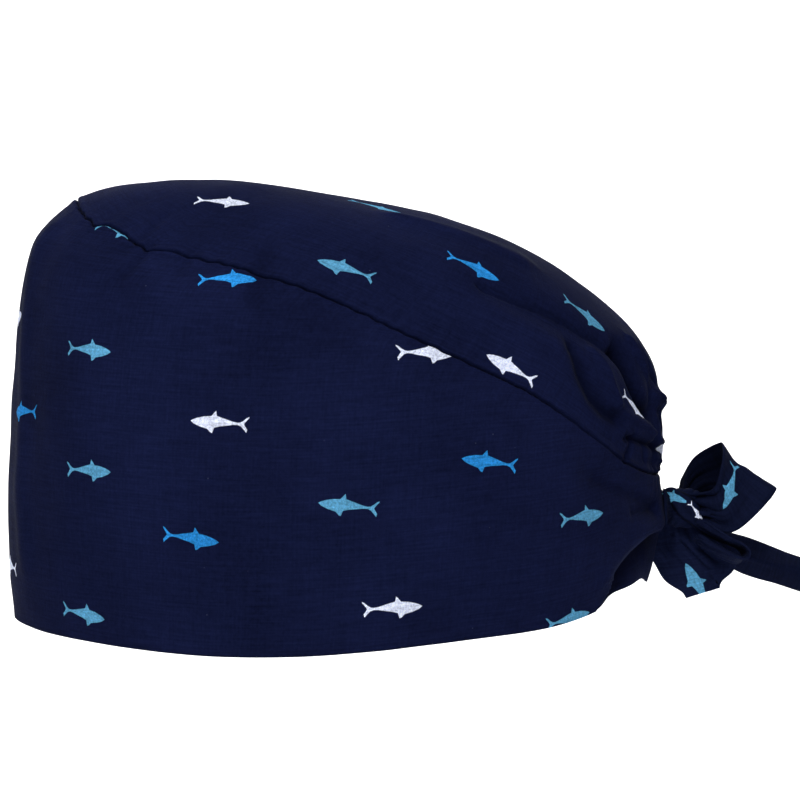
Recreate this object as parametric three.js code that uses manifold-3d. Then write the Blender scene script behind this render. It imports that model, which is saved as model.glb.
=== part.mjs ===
// A tie-back scrub cap as it sits on a head: a tall band round the head, a domed crown panel gathered
// at the back, and a bow tied from the two ties at the ends of the band.
// Millimetres, +Z up, +X from the front of the cap to its back, -Y on the wearer's left.
// The origin is the middle of the head opening, level with the hem at the front.
import * as THREE from 'three';
import Module from 'manifold-3d';
import { mergeVertices } from 'three/addons/utils/BufferGeometryUtils.js';

const wasm = await Module();
wasm.setup();

// Sizes of the cap
const capLength = 230;
const capWidth = 178;
const capHeight = 150;
const clothWall = 1.2;
const seamGap = 0.3;
const slitAtSeam = 3;
const slitAtHem = 11;

// Sizes of the ties and the bow
const tieWidth = 25;
const tieWall = 1.1;
const baseWidth = 16;
const knotLength = 12.5;
const knotDepth = 12;
const knotHeight = 14;
const fitGap = 0.3;
const upperLoopReach = 30;
const lowerLoopReach = 23;
const longTailReach = 49;
const shortTailReach = 31;

const halfLength = capLength / 2;
const halfWidth = capWidth / 2;
const degrees = Math.PI / 180;

// Rings of the cap from the hem (level 0) over the seam (level 1) to the middle of the crown (level 2).
// front and back are shares of half the length, side of half the width, the rises of the height.
const rings = [
  { level: 0.00, front: 0.983, frontRise: 0.000, side: 0.944, sideRise: -0.061, back: 0.943, backRise: 0.089 },
  { level: 0.10, front: 0.995, frontRise: 0.105, side: 0.966, sideRise: 0.060, back: 0.971, backRise: 0.133 },
  { level: 0.28, front: 0.998, frontRise: 0.303, side: 0.992, sideRise: 0.253, back: 0.995, backRise: 0.187 },
  { level: 0.46, front: 0.989, frontRise: 0.490, side: 1.000, sideRise: 0.413, back: 0.998, backRise: 0.229 },
  { level: 0.66, front: 0.971, frontRise: 0.688, side: 0.989, sideRise: 0.547, back: 0.995, backRise: 0.264 },
  { level: 0.82, front: 0.931, frontRise: 0.840, side: 0.966, sideRise: 0.628, back: 0.989, backRise: 0.292 },
  { level: 0.92, front: 0.873, frontRise: 0.905, side: 0.939, sideRise: 0.665, back: 0.986, backRise: 0.308 },
  { level: 1.00, front: 0.788, frontRise: 0.957, side: 0.904, sideRise: 0.690, back: 0.983, backRise: 0.324 },
  { level: 1.12, front: 0.667, frontRise: 0.986, side: 0.848, sideRise: 0.739, back: 0.996, backRise: 0.373 },
  { level: 1.30, front: 0.493, frontRise: 1.001, side: 0.742, sideRise: 0.795, back: 0.994, backRise: 0.455 },
  { level: 1.50, front: 0.310, frontRise: 1.000, side: 0.562, sideRise: 0.855, back: 0.950, backRise: 0.592 },
  { level: 1.70, front: 0.113, frontRise: 0.980, side: 0.337, sideRise: 0.895, back: 0.806, backRise: 0.722 },
  { level: 1.86, front: -0.085, frontRise: 0.954, side: 0.157, sideRise: 0.912, back: 0.570, backRise: 0.838 },
  { level: 2.00, front: -0.289, frontRise: 0.912, side: 0.000, sideRise: 0.912, back: 0.289, backRise: 0.912 },
];

// Where the cloth hangs lower than those smooth rings, on both sides of the cap.
// The azimuth is in degrees from the back, the drop a share of the height.
const sags = [
  { azimuth: 132, level: 1.00, drop: 0.052, azimuthSpread: 25, levelSpread: 0.25 },
  { azimuth: 30, level: 1.00, drop: 0.010, azimuthSpread: 16, levelSpread: 0.20 },
  { azimuth: 42, level: 0.00, drop: 0.026, azimuthSpread: 22, levelSpread: 0.22 },
];

// Folds, dents and gathers, each along a line from one place on the cap to another. The azimuth is in
// degrees from the back, positive on the wearer's left; spread is a share of half the width and depth,
// negative for a valley, one of half the length.
const folds = [
  { azimuth: 75, level: 1.33, toAzimuth: 36, toLevel: 1.41, spread: 0.060, depth: -0.018 },
  { azimuth: 72, level: 1.22, toAzimuth: 40, toLevel: 1.30, spread: 0.080, depth: 0.012 },
  { azimuth: 103, level: 1.53, toAzimuth: 70, toLevel: 1.59, spread: 0.070, depth: 0.010 },
  { azimuth: 52, level: 1.25, toAzimuth: 27, toLevel: 1.08, spread: 0.050, depth: -0.024 },
  { azimuth: 41, level: 1.38, toAzimuth: 25, toLevel: 1.20, spread: 0.045, depth: -0.030 },
  { azimuth: 34, level: 1.27, toAzimuth: 22, toLevel: 1.14, spread: 0.035, depth: 0.016 },
  { azimuth: 31, level: 1.09, toAzimuth: 16, toLevel: 1.08, spread: 0.035, depth: -0.018 },
  { azimuth: 18, level: 1.42, toAzimuth: 14, toLevel: 1.06, spread: 0.045, depth: -0.024 },
  { azimuth: 7, level: 1.36, toAzimuth: 6, toLevel: 1.05, spread: 0.040, depth: -0.022 },
  { azimuth: -4, level: 1.46, toAzimuth: -3, toLevel: 1.05, spread: 0.042, depth: -0.024 },
  { azimuth: -13, level: 1.34, toAzimuth: -11, toLevel: 1.06, spread: 0.040, depth: -0.022 },
  { azimuth: -24, level: 1.44, toAzimuth: -19, toLevel: 1.07, spread: 0.045, depth: -0.026 },
  { azimuth: -38, level: 1.36, toAzimuth: -28, toLevel: 1.09, spread: 0.050, depth: -0.026 },
  { azimuth: -56, level: 1.28, toAzimuth: -38, toLevel: 1.08, spread: 0.055, depth: -0.022 },
  { azimuth: -78, level: 1.36, toAzimuth: -42, toLevel: 1.40, spread: 0.070, depth: -0.016 },
  { azimuth: 131, level: 0.76, toAzimuth: 128, toLevel: 0.70, spread: 0.200, depth: -0.014 },
  { azimuth: 102, level: 0.74, toAzimuth: 98, toLevel: 0.70, spread: 0.200, depth: -0.014 },
  { azimuth: 90, level: 0.28, toAzimuth: 84, toLevel: 0.28, spread: 0.200, depth: -0.012 },
  { azimuth: 164, level: 0.90, toAzimuth: 157, toLevel: 0.13, spread: 0.070, depth: 0.014 },
  { azimuth: 30, level: 0.10, toAzimuth: 12, toLevel: 0.18, spread: 0.090, depth: -0.040 },
  { azimuth: 42, level: 0.58, toAzimuth: 16, toLevel: 0.48, spread: 0.070, depth: -0.016 },
  { azimuth: -30, level: 0.14, toAzimuth: -14, toLevel: 0.22, spread: 0.090, depth: -0.030 },
  { azimuth: -46, level: 0.62, toAzimuth: -18, toLevel: 0.46, spread: 0.070, depth: -0.018 },
  { azimuth: -100, level: 0.66, toAzimuth: -96, toLevel: 0.60, spread: 0.210, depth: -0.014 },
  { azimuth: -134, level: 0.40, toAzimuth: -128, toLevel: 0.36, spread: 0.200, depth: -0.014 },
  { azimuth: -163, level: 0.88, toAzimuth: -158, toLevel: 0.15, spread: 0.070, depth: 0.012 },
];

// The bow's strips of cloth, from the knot outwards. right, up and out give the middle of the strip
// from the middle of the knot, out towards the wearer's left, as shares of the strip's reach; width and
// the depths of its cup, crease and pleats are shares of the tie's width. angle turns the line across
// the strip in the upright plane from front to back, and lean turns it out of that plane, in degrees.
const upperLoop = [
  { right: 0.04, up: 0.02, out: 0.12, width: 0.34, angle: -80, lean: 6, cup: 0.02, crease: 0.00, pleat: 0.050 },
  { right: 0.20, up: -0.01, out: 0.26, width: 0.46, angle: -79, lean: 6, cup: 0.03, crease: 0.00, pleat: 0.040 },
  { right: 0.38, up: -0.02, out: 0.34, width: 0.68, angle: -70, lean: 6, cup: 0.05, crease: 0.00, pleat: 0.020 },
  { right: 0.54, up: 0.19, out: 0.30, width: 0.84, angle: -54, lean: 3, cup: 0.08, crease: 0.00, pleat: 0.006 },
  { right: 0.67, up: 0.41, out: 0.06, width: 0.98, angle: -41, lean: 0, cup: 0.08, crease: 0.00, pleat: 0.000 },
  { right: 0.53, up: 0.37, out: -0.18, width: 0.96, angle: -45, lean: -2, cup: 0.08, crease: 0.00, pleat: 0.006 },
  { right: 0.33, up: 0.29, out: -0.30, width: 0.84, angle: -47, lean: -4, cup: 0.06, crease: 0.00, pleat: 0.020 },
  { right: 0.14, up: 0.20, out: -0.27, width: 0.54, angle: -50, lean: -6, cup: 0.03, crease: 0.00, pleat: 0.040 },
  { right: 0.02, up: 0.10, out: -0.16, width: 0.34, angle: -50, lean: -8, cup: 0.01, crease: 0.00, pleat: 0.050 },
];
const lowerLoop = [
  { right: 0.10, up: -0.23, out: 0.22, width: 0.28, angle: 45, lean: -74, cup: 0.00, crease: 0.00, pleat: 0.030 },
  { right: 0.30, up: -0.36, out: 0.32, width: 0.44, angle: 45, lean: -78, cup: 0.01, crease: 0.00, pleat: 0.025 },
  { right: 0.54, up: -0.50, out: 0.38, width: 0.56, angle: 48, lean: -80, cup: 0.02, crease: 0.00, pleat: 0.012 },
  { right: 0.75, up: -0.62, out: 0.40, width: 0.60, angle: 50, lean: -80, cup: 0.03, crease: 0.00, pleat: 0.000 },
  { right: 0.82, up: -0.71, out: 0.41, width: 0.60, angle: 50, lean: -80, cup: 0.03, crease: 0.00, pleat: 0.000 },
  { right: 0.75, up: -0.78, out: 0.40, width: 0.60, angle: 50, lean: -80, cup: 0.03, crease: 0.00, pleat: 0.004 },
  { right: 0.52, up: -0.71, out: 0.38, width: 0.54, angle: 50, lean: -80, cup: 0.02, crease: 0.00, pleat: 0.014 },
  { right: 0.30, up: -0.58, out: 0.32, width: 0.40, angle: 48, lean: -78, cup: 0.00, crease: 0.00, pleat: 0.025 },
  { right: 0.12, up: -0.45, out: 0.24, width: 0.26, angle: 45, lean: -76, cup: 0.00, crease: 0.00, pleat: 0.030 },
];
const longTail = [
  { right: 0.04, up: -0.08, out: -0.03, width: 0.24, angle: 70, lean: 0, cup: 0.00, crease: 0.10, pleat: 0.020 },
  { right: 0.24, up: -0.26, out: -0.13, width: 0.36, angle: 70, lean: 0, cup: 0.00, crease: 0.14, pleat: 0.012 },
  { right: 0.46, up: -0.37, out: -0.20, width: 0.50, angle: 71, lean: 0, cup: 0.02, crease: 0.22, pleat: 0.004 },
  { right: 0.70, up: -0.45, out: -0.18, width: 0.46, angle: 72, lean: 2, cup: 0.02, crease: 0.26, pleat: 0.000 },
  { right: 0.92, up: -0.52, out: -0.17, width: 0.46, angle: 72, lean: 3, cup: 0.02, crease: 0.28, pleat: 0.000 },
];
const shortTail = [
  { right: -0.05, up: -0.20, out: -0.06, width: 0.30, angle: 12, lean: 0, cup: 0.00, crease: 0.00, pleat: 0.030 },
  { right: 0.02, up: -0.42, out: -0.08, width: 0.72, angle: 6, lean: 4, cup: 0.03, crease: 0.00, pleat: 0.024 },
  { right: 0.13, up: -0.62, out: -0.08, width: 1.08, angle: 4, lean: 6, cup: 0.06, crease: 0.00, pleat: 0.016 },
  { right: 0.15, up: -0.78, out: -0.06, width: 0.98, angle: 8, lean: 6, cup: 0.08, crease: 0.00, pleat: 0.010 },
  { right: 0.17, up: -0.90, out: -0.04, width: 0.60, angle: 14, lean: 4, cup: 0.05, crease: 0.00, pleat: 0.006 },
  { right: 0.18, up: -0.98, out: -0.03, width: 0.49, angle: 17, lean: 2, cup: 0.02, crease: 0.00, pleat: 0.004 },
];

// The start of a tie, sewn over the end of the band: its middle by azimuth in degrees from the back and
// level on the band, its width a share of the base's width.
const tieBase = [
  { azimuth: 14, level: 0.54, width: 1.00 },
  { azimuth: 9, level: 0.54, width: 0.92 },
  { azimuth: 5, level: 0.53, width: 0.74 },
  { azimuth: 2.6, level: 0.52, width: 0.58 },
];

// Where on the band's back the knot sits, and how its wrap stands out and winds, as shares of its size
const knotLevel = 0.53;
const wrapHeight = 0.06;
const wrapTurns = 3;
const wrapSlant = 4;
const knotSquareness = 0.8;

// How far apart, in levels, the places are that a direction on the cap is worked out from, and the
// highest level where that works
const levelStep = 0.02;
const highestLevel = 1.97;

// How many faces each piece has
const backAzimuth = 56;
const backSteps = 44;
const frontSteps = 34;
const bandLevels = [0, 0.05, 0.14, 0.26, 0.4, 0.54, 0.68, 0.8, 0.9, 1];
const crownLevels = [1, 1.06, 1.13, 1.2, 1.28, 1.37, 1.47, 1.58, 1.7, 1.82, 1.93];
const stripAlong = 20;
const stripAcross = 9;
const knotAround = 24;
const knotAlong = 14;

// One column of a table of rows, followed smoothly along another column.
function follow(rows, key, column, at) {
  const last = rows.length - 1;
  const slope = (i) => {
    const before = rows[Math.max(i - 1, 0)];
    const after = rows[Math.min(i + 1, last)];
    return (after[column] - before[column]) / (after[key] - before[key]);
  };
  let i = 0;
  while (i < last - 1 && at > rows[i + 1][key]) i += 1;
  const span = rows[i + 1][key] - rows[i][key];
  const t = (at - rows[i][key]) / span;
  const startShare = 2 * t ** 3 - 3 * t ** 2 + 1;
  const startSlope = (t ** 3 - 2 * t ** 2 + t) * span;
  const endSlope = (t ** 3 - t ** 2) * span;
  return startShare * rows[i][column] + (1 - startShare) * rows[i + 1][column]
    + startSlope * slope(i) + endSlope * slope(i + 1);
}

// A bump that is 1 at 0 and dies away past 1.
function bump(distance) {
  return Math.exp(-(distance ** 2));
}

// The angle from the back of the cap, 0 to 180 degrees on either side.
function fromBack(azimuth) {
  const turn = ((azimuth % 360) + 360) % 360;
  return Math.min(turn, 360 - turn);
}

// A place on the cap's smooth outer surface, before its folds.
function smoothPlace(azimuth, level) {
  const ring = (column) => follow(rings, 'level', column, level);
  const front = -ring('front') * halfLength;
  const back = ring('back') * halfLength;
  const side = ring('side') * halfWidth;
  const frontRise = ring('frontRise') * capHeight;
  const sideRise = ring('sideRise') * capHeight;
  const backRise = ring('backRise') * capHeight;
  const turn = azimuth * degrees;
  let rise = (frontRise + backRise + 2 * sideRise) / 4
    + ((backRise - frontRise) / 2) * Math.cos(turn)
    + ((frontRise + backRise - 2 * sideRise) / 4) * Math.cos(2 * turn);
  for (const sag of sags) {
    const across = (fromBack(azimuth) - sag.azimuth) / sag.azimuthSpread;
    const along = (level - sag.level) / sag.levelSpread;
    rise -= sag.drop * capHeight * bump(across) * bump(along);
  }
  return new THREE.Vector3(
    (front + back) / 2 + ((back - front) / 2) * Math.cos(turn), -side * Math.sin(turn), rise);
}

// The direction out of a surface given by a function of azimuth and level.
function outOf(surface, azimuth, level) {
  const around = surface(azimuth + 1, level).sub(surface(azimuth - 1, level));
  const top = Math.min(level + levelStep, highestLevel);
  const bottom = Math.max(level - levelStep, 0);
  const upwards = surface(azimuth, top).sub(surface(azimuth, bottom));
  return upwards.cross(around).normalize();
}

const foldLines = folds.map((fold) => {
  const points = [];
  for (let i = 0; i <= 6; i += 1) {
    points.push(smoothPlace(
      THREE.MathUtils.lerp(fold.azimuth, fold.toAzimuth, i / 6),
      THREE.MathUtils.lerp(fold.level, fold.toLevel, i / 6)));
  }
  return { points, spread: fold.spread * halfWidth, depth: fold.depth * halfLength };
});

// How far the folds push a place of the cap outwards.
function foldHeight(place) {
  let height = 0;
  const nearest = new THREE.Vector3();
  for (const { points, spread, depth } of foldLines) {
    let distance = Infinity;
    for (let i = 1; i < points.length; i += 1) {
      new THREE.Line3(points[i - 1], points[i]).closestPointToPoint(place, true, nearest);
      distance = Math.min(distance, nearest.distanceTo(place));
    }
    height += depth * bump(distance / spread);
  }
  return height;
}

// A place on the cap's outer surface with its folds.
function capPlace(azimuth, level) {
  const place = smoothPlace(azimuth, level);
  return place.addScaledVector(outOf(smoothPlace, azimuth, level), foldHeight(place));
}

function capDirection(azimuth, level) {
  return outOf(capPlace, azimuth, level);
}

// The closed mesh of a wall: a grid of outer places and the same grid of inner ones, joined round the
// open sides. A wrapped grid's last column is its first one again, and a tip closes its last row.
function wallGeometry(outer, inner, wrapped, tips) {
  const rows = outer.length;
  const columns = outer[0].length;
  const flat = [...outer.flat(), ...inner.flat(), ...(tips ?? [])];
  const at = (layer, row, column) => layer * rows * columns + row * columns + (column % columns);
  const index = [];
  const quad = (a, b, c, d) => index.push(a, b, c, a, c, d);
  const spans = wrapped ? columns : columns - 1;
  for (let column = 0; column < spans; column += 1) {
    for (let row = 0; row < rows - 1; row += 1) {
      quad(at(0, row, column), at(0, row, column + 1), at(0, row + 1, column + 1), at(0, row + 1, column));
      quad(at(1, row, column + 1), at(1, row, column), at(1, row + 1, column), at(1, row + 1, column + 1));
    }
    quad(at(1, 0, column), at(1, 0, column + 1), at(0, 0, column + 1), at(0, 0, column));
    const top = rows - 1;
    if (tips) {
      const outerTip = 2 * rows * columns;
      index.push(at(0, top, column), at(0, top, column + 1), outerTip);
      index.push(at(1, top, column + 1), at(1, top, column), outerTip + 1);
    } else {
      quad(at(0, top, column), at(0, top, column + 1), at(1, top, column + 1), at(1, top, column));
    }
  }
  if (!wrapped) {
    const end = columns - 1;
    for (let row = 0; row < rows - 1; row += 1) {
      quad(at(1, row, 0), at(0, row, 0), at(0, row + 1, 0), at(1, row + 1, 0));
      quad(at(0, row, end), at(1, row, end), at(1, row + 1, end), at(0, row + 1, end));
    }
  }
  const geometry = new THREE.BufferGeometry();
  geometry.setAttribute('position', new THREE.Float32BufferAttribute(flat.flatMap((p) => p.toArray()), 3));
  geometry.setIndex(index);
  return facingOut(geometry);
}

// The same geometry with its faces pointing out of the solid.
function facingOut(geometry) {
  const corners = geometry.getAttribute('position');
  const index = geometry.getIndex().array;
  const [a, b, c] = [new THREE.Vector3(), new THREE.Vector3(), new THREE.Vector3()];
  let volume = 0;
  for (let i = 0; i < index.length; i += 3) {
    a.fromBufferAttribute(corners, index[i]);
    b.fromBufferAttribute(corners, index[i + 1]);
    c.fromBufferAttribute(corners, index[i + 2]);
    volume += a.dot(b.cross(c));
  }
  if (volume < 0) {
    for (let i = 0; i < index.length; i += 3) [index[i + 1], index[i + 2]] = [index[i + 2], index[i + 1]];
  }
  return geometry;
}

// Azimuths round the cap, close together over the gathers at the back.
function azimuthSteps(startAzimuth) {
  const steps = [];
  const half = backSteps / 2;
  for (let i = 0; i < half; i += 1) steps.push(THREE.MathUtils.lerp(startAzimuth, backAzimuth, i / half));
  const frontSpan = 360 - 2 * backAzimuth;
  for (let i = 0; i < frontSteps; i += 1) steps.push(backAzimuth + (frontSpan * i) / frontSteps);
  for (let i = half; i >= 0; i -= 1) steps.push(360 - THREE.MathUtils.lerp(startAzimuth, backAzimuth, i / half));
  return steps;
}

// The places of one level, depth under the outer surface. A seam's edge is moved back from the seam,
// towards higher levels or, where towards is negative, lower ones.
function wallPlaces(azimuths, level, depth, towards = 0) {
  return azimuths.map((azimuth) => {
    const direction = capDirection(azimuth, level);
    const place = capPlace(azimuth, level);
    if (towards) {
      const other = capPlace(azimuth, level + levelStep * Math.sign(towards));
      place.addScaledVector(other.sub(place).normalize(), Math.abs(towards));
    }
    return place.addScaledVector(direction, -depth);
  });
}

// The band runs from one side of the slit at the back round the front to the other side.
function bandGeometry() {
  const layer = (depth) => bandLevels.map((level) => {
    const slit = THREE.MathUtils.lerp(slitAtHem, slitAtSeam, level);
    const start = Math.asin(slit / 2 / halfWidth) / degrees;
    const atSeam = level === 1 ? -seamGap / 2 : 0;
    return wallPlaces(azimuthSteps(start), level, depth, atSeam);
  });
  return wallGeometry(layer(0), layer(clothWall), false);
}

function crownGeometry() {
  const azimuths = azimuthSteps(0).slice(0, -1);
  const layer = (depth) => crownLevels.map((level) => (
    wallPlaces(azimuths, level, depth, level === 1 ? seamGap / 2 : 0)));
  const tip = smoothPlace(0, 2);
  const innerTip = tip.clone().setZ(tip.z - clothWall);
  return wallGeometry(layer(0), layer(clothWall), true, [tip, innerTip]);
}

const knotMiddle = capPlace(0, knotLevel);
knotMiddle.x += fitGap + tieWall + knotLength / 2;

// The knot, a rounded lump with a wrap that winds round it. The larger one, grown by a gap, cuts the
// cloth that goes into it.
function knotGeometry(gap) {
  const geometry = new THREE.SphereGeometry(1, knotAround, knotAlong);
  geometry.rotateX(Math.PI / 2);
  const corners = geometry.getAttribute('position');
  const place = new THREE.Vector3();
  for (let i = 0; i < corners.count; i += 1) {
    place.fromBufferAttribute(corners, i);
    const turn = wrapTurns * Math.atan2(place.y, place.x) + wrapSlant * place.z;
    const squared = new THREE.Vector3(
      ...place.toArray().map((share) => Math.sign(share) * Math.abs(share) ** knotSquareness));
    squared.multiplyScalar(1 + wrapHeight * Math.cos(turn));
    corners.setXYZ(i,
      knotMiddle.x + squared.x * (knotLength / 2 + gap),
      knotMiddle.y + squared.y * (knotDepth / 2 + gap),
      knotMiddle.z + squared.z * (knotHeight / 2 + gap));
  }
  geometry.deleteAttribute('normal');
  geometry.deleteAttribute('uv');
  return facingOut(mergeVertices(geometry, 0.001));
}

// A strip of the bow, from its table of rows. Grown by a gap, it cuts the strips that lie against it.
function stripGeometry({ rows, reach }, gap = 0) {
  const stations = rows.map((row, i) => ({ ...row, station: i }));
  const value = (column, station) => follow(stations, 'station', column, station);
  const middle = (station) => new THREE.Vector3(
    value('right', station), -value('out', station), value('up', station))
    .multiplyScalar(reach).add(knotMiddle);
  const last = rows.length - 1;
  const outer = [];
  const inner = [];
  for (let i = 0; i <= stripAlong; i += 1) {
    const station = (last * i) / stripAlong;
    const angle = value('angle', station) * degrees;
    const lean = value('lean', station) * degrees;
    const across = new THREE.Vector3(
      Math.cos(angle) * Math.cos(lean), Math.sin(lean), Math.sin(angle) * Math.cos(lean));
    const along = middle(Math.min(station + 0.1, last)).sub(middle(Math.max(station - 0.1, 0))).normalize();
    const face = along.cross(across).normalize();
    const outerRow = [];
    const innerRow = [];
    for (let j = 0; j < stripAcross; j += 1) {
      const t = (2 * j) / (stripAcross - 1) - 1;
      const sink = (value('cup', station) * t ** 2 + value('crease', station) * Math.abs(t)) * tieWidth;
      const ripple = value('pleat', station) * tieWidth * Math.cos(3 * Math.PI * t);
      const place = middle(station)
        .addScaledVector(across, t * ((value('width', station) * tieWidth) / 2 + gap))
        .addScaledVector(face, ripple - sink);
      outerRow.push(place.clone().addScaledVector(face, tieWall / 2 + gap));
      innerRow.push(place.addScaledVector(face, -tieWall / 2 - gap));
    }
    outer.push(outerRow);
    inner.push(innerRow);
  }
  return wallGeometry(outer, inner, false);
}

// The start of a tie lies on the band with a small gap under it, and side is 1 on the wearer's left.
function tieBaseGeometry(side) {
  const layer = (lift) => tieBase.map((row) => {
    const middle = capPlace(row.azimuth * side, row.level);
    const upwards = capPlace(row.azimuth * side, row.level + 0.1)
      .sub(capPlace(row.azimuth * side, row.level - 0.1)).normalize();
    const direction = capDirection(row.azimuth * side, row.level);
    const places = [];
    for (let j = 0; j < stripAcross; j += 1) {
      const t = (2 * j) / (stripAcross - 1) - 1;
      places.push(middle.clone()
        .addScaledVector(upwards, (t * row.width * baseWidth) / 2)
        .addScaledVector(direction, fitGap + lift));
    }
    return places;
  });
  return wallGeometry(layer(tieWall), layer(0), false);
}

function toSolid(geometry) {
  const merged = mergeVertices(geometry, 0.0001);
  return new wasm.Manifold(new wasm.Mesh({
    numProp: 3,
    vertProperties: new Float32Array(merged.getAttribute('position').array),
    triVerts: new Uint32Array(merged.getIndex().array),
  }));
}

function toGeometry(solid) {
  const mesh = solid.getMesh();
  const geometry = new THREE.BufferGeometry();
  geometry.setAttribute('position', new THREE.Float32BufferAttribute(mesh.vertProperties, 3));
  geometry.setIndex(Array.from(mesh.triVerts));
  return geometry;
}

// The largest body of what is left of a piece once the others are cut from it.
function cutClear(geometry, cutters) {
  let solid = toSolid(geometry);
  for (const cutter of cutters) solid = solid.subtract(cutter);
  const bodies = solid.decompose();
  bodies.sort((a, b) => b.volume() - a.volume());
  return toGeometry(bodies[0]);
}

const cloth = new THREE.MeshStandardMaterial({ color: 0x131834, roughness: 0.9, metalness: 0 });
const tieCloth = new THREE.MeshStandardMaterial({ color: 0x111626, roughness: 0.9, metalness: 0 });

const cap = new THREE.Group();

function addPiece(name, geometry, material) {
  const piece = new THREE.Mesh(geometry, material);
  piece.name = name;
  cap.add(piece);
}

addPiece('band', bandGeometry(), cloth);
addPiece('crown', crownGeometry(), cloth);
addPiece('knot', knotGeometry(0), tieCloth);

// What goes into the knot is cut clear of it, and each strip of the ones named before it.
const cutters = [toSolid(knotGeometry(fitGap))];
addPiece('tie_base_near', cutClear(tieBaseGeometry(1), cutters), tieCloth);
addPiece('tie_base_far', cutClear(tieBaseGeometry(-1), cutters), tieCloth);
const strips = [
  { name: 'loop_lower', rows: lowerLoop, reach: lowerLoopReach },
  { name: 'loop_upper', rows: upperLoop, reach: upperLoopReach },
  { name: 'tail_short', rows: shortTail, reach: shortTailReach },
  { name: 'tail_long', rows: longTail, reach: longTailReach },
];
for (const strip of strips) {
  addPiece(strip.name, cutClear(stripGeometry(strip), cutters), tieCloth);
  cutters.push(toSolid(stripGeometry(strip, fitGap)));
}

export default cap;
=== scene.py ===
import bpy
import math
import numpy as np
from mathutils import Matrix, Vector, noise


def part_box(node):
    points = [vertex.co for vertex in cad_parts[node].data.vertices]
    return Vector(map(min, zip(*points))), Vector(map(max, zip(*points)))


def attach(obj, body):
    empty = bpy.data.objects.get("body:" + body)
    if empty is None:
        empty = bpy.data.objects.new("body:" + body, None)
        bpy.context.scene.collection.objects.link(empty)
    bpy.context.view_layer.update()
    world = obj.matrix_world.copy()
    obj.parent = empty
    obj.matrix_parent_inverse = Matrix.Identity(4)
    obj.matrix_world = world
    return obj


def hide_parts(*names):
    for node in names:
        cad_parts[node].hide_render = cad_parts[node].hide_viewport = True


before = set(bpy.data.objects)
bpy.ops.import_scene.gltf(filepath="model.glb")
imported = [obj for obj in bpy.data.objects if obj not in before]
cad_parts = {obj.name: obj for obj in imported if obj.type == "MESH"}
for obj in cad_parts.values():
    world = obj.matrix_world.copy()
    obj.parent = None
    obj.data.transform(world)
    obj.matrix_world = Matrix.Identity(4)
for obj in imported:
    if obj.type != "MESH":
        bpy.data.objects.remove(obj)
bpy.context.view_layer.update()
print("frame loaded")

# a tie-back cap in navy cotton, held up in its worn form: the bow is at +X, the wearer's left at -Y

photoView = {  # the camera stands level, square to the wearer's left side
    "distance": 1.1, "frameWidth": 0.28, "lookX": 0.0221, "lookZ": 0.0735,
    "pixels": 800, "sensor": 36.0,
}

capSize = {"halfLength": 0.115, "halfWidth": 0.089, "height": 0.150, "slitAtSeam": 0.003, "slitAtHem": 0.011}

# level, front, front rise, side, side rise, back, back rise: the frame's rings, a shade lower on top
rings = np.array([
    (0.00, 0.974, 0.000, 0.944, -0.061, 0.948, 0.089),
    (0.10, 0.984, 0.105, 0.966, 0.060, 0.976, 0.133),
    (0.28, 0.998, 0.303, 0.992, 0.253, 0.995, 0.187),
    (0.46, 0.989, 0.490, 1.000, 0.413, 0.998, 0.229),
    (0.66, 0.971, 0.688, 0.989, 0.547, 0.995, 0.264),
    (0.82, 0.931, 0.840, 0.966, 0.628, 0.989, 0.292),
    (0.92, 0.873, 0.905, 0.939, 0.665, 0.986, 0.308),
    (1.00, 0.788, 0.957, 0.904, 0.690, 0.983, 0.324),
    (1.12, 0.667, 0.986, 0.848, 0.739, 0.996, 0.373),
    (1.30, 0.493, 0.998, 0.742, 0.795, 0.994, 0.455),
    (1.50, 0.310, 0.994, 0.562, 0.855, 0.950, 0.592),
    (1.70, 0.113, 0.975, 0.337, 0.895, 0.806, 0.722),
    (1.86, -0.085, 0.954, 0.157, 0.912, 0.570, 0.838),
    (2.00, -0.289, 0.912, 0.000, 0.912, 0.289, 0.912),
])

# azimuth from the back, level, drop as a share of the height, and how far each spreads
sags = [(132, 1.00, 0.052, 25, 0.25), (30, 1.00, 0.010, 16, 0.20), (42, 0.00, 0.026, 22, 0.22),
        (155, 0.00, 0.013, 26, 0.14), (5, 0.00, 0.020, 5, 0.08)]

# from azimuth and level to azimuth and level, spread as a share of half the width, depth of half the length
broadFolds = [
    (75, 1.33, 36, 1.41, 0.060, -0.018), (72, 1.22, 40, 1.30, 0.080, 0.012),
    (103, 1.53, 70, 1.59, 0.070, 0.010), (18, 1.42, 14, 1.06, 0.045, -0.024),
    (7, 1.36, 6, 1.05, 0.040, -0.022), (-4, 1.46, -3, 1.05, 0.042, -0.024),
    (-13, 1.34, -11, 1.06, 0.040, -0.022), (-24, 1.44, -19, 1.07, 0.045, -0.026),
    (-38, 1.36, -28, 1.09, 0.050, -0.026), (-56, 1.28, -38, 1.08, 0.055, -0.022),
    (-78, 1.36, -42, 1.40, 0.070, -0.016), (131, 0.76, 128, 0.70, 0.200, -0.014),
    (102, 0.74, 98, 0.70, 0.200, -0.014), (90, 0.28, 84, 0.28, 0.200, -0.012),
    (164, 0.90, 157, 0.13, 0.070, 0.014), (30, 0.10, 18, 0.15, 0.080, -0.018),
    (42, 0.58, 16, 0.48, 0.070, -0.016), (-30, 0.14, -18, 0.18, 0.080, -0.016),
    (-46, 0.62, -18, 0.46, 0.070, -0.018), (-100, 0.66, -96, 0.60, 0.210, -0.014),
    (-134, 0.40, -128, 0.36, 0.200, -0.014), (-163, 0.88, -158, 0.15, 0.070, 0.012),
]

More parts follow.
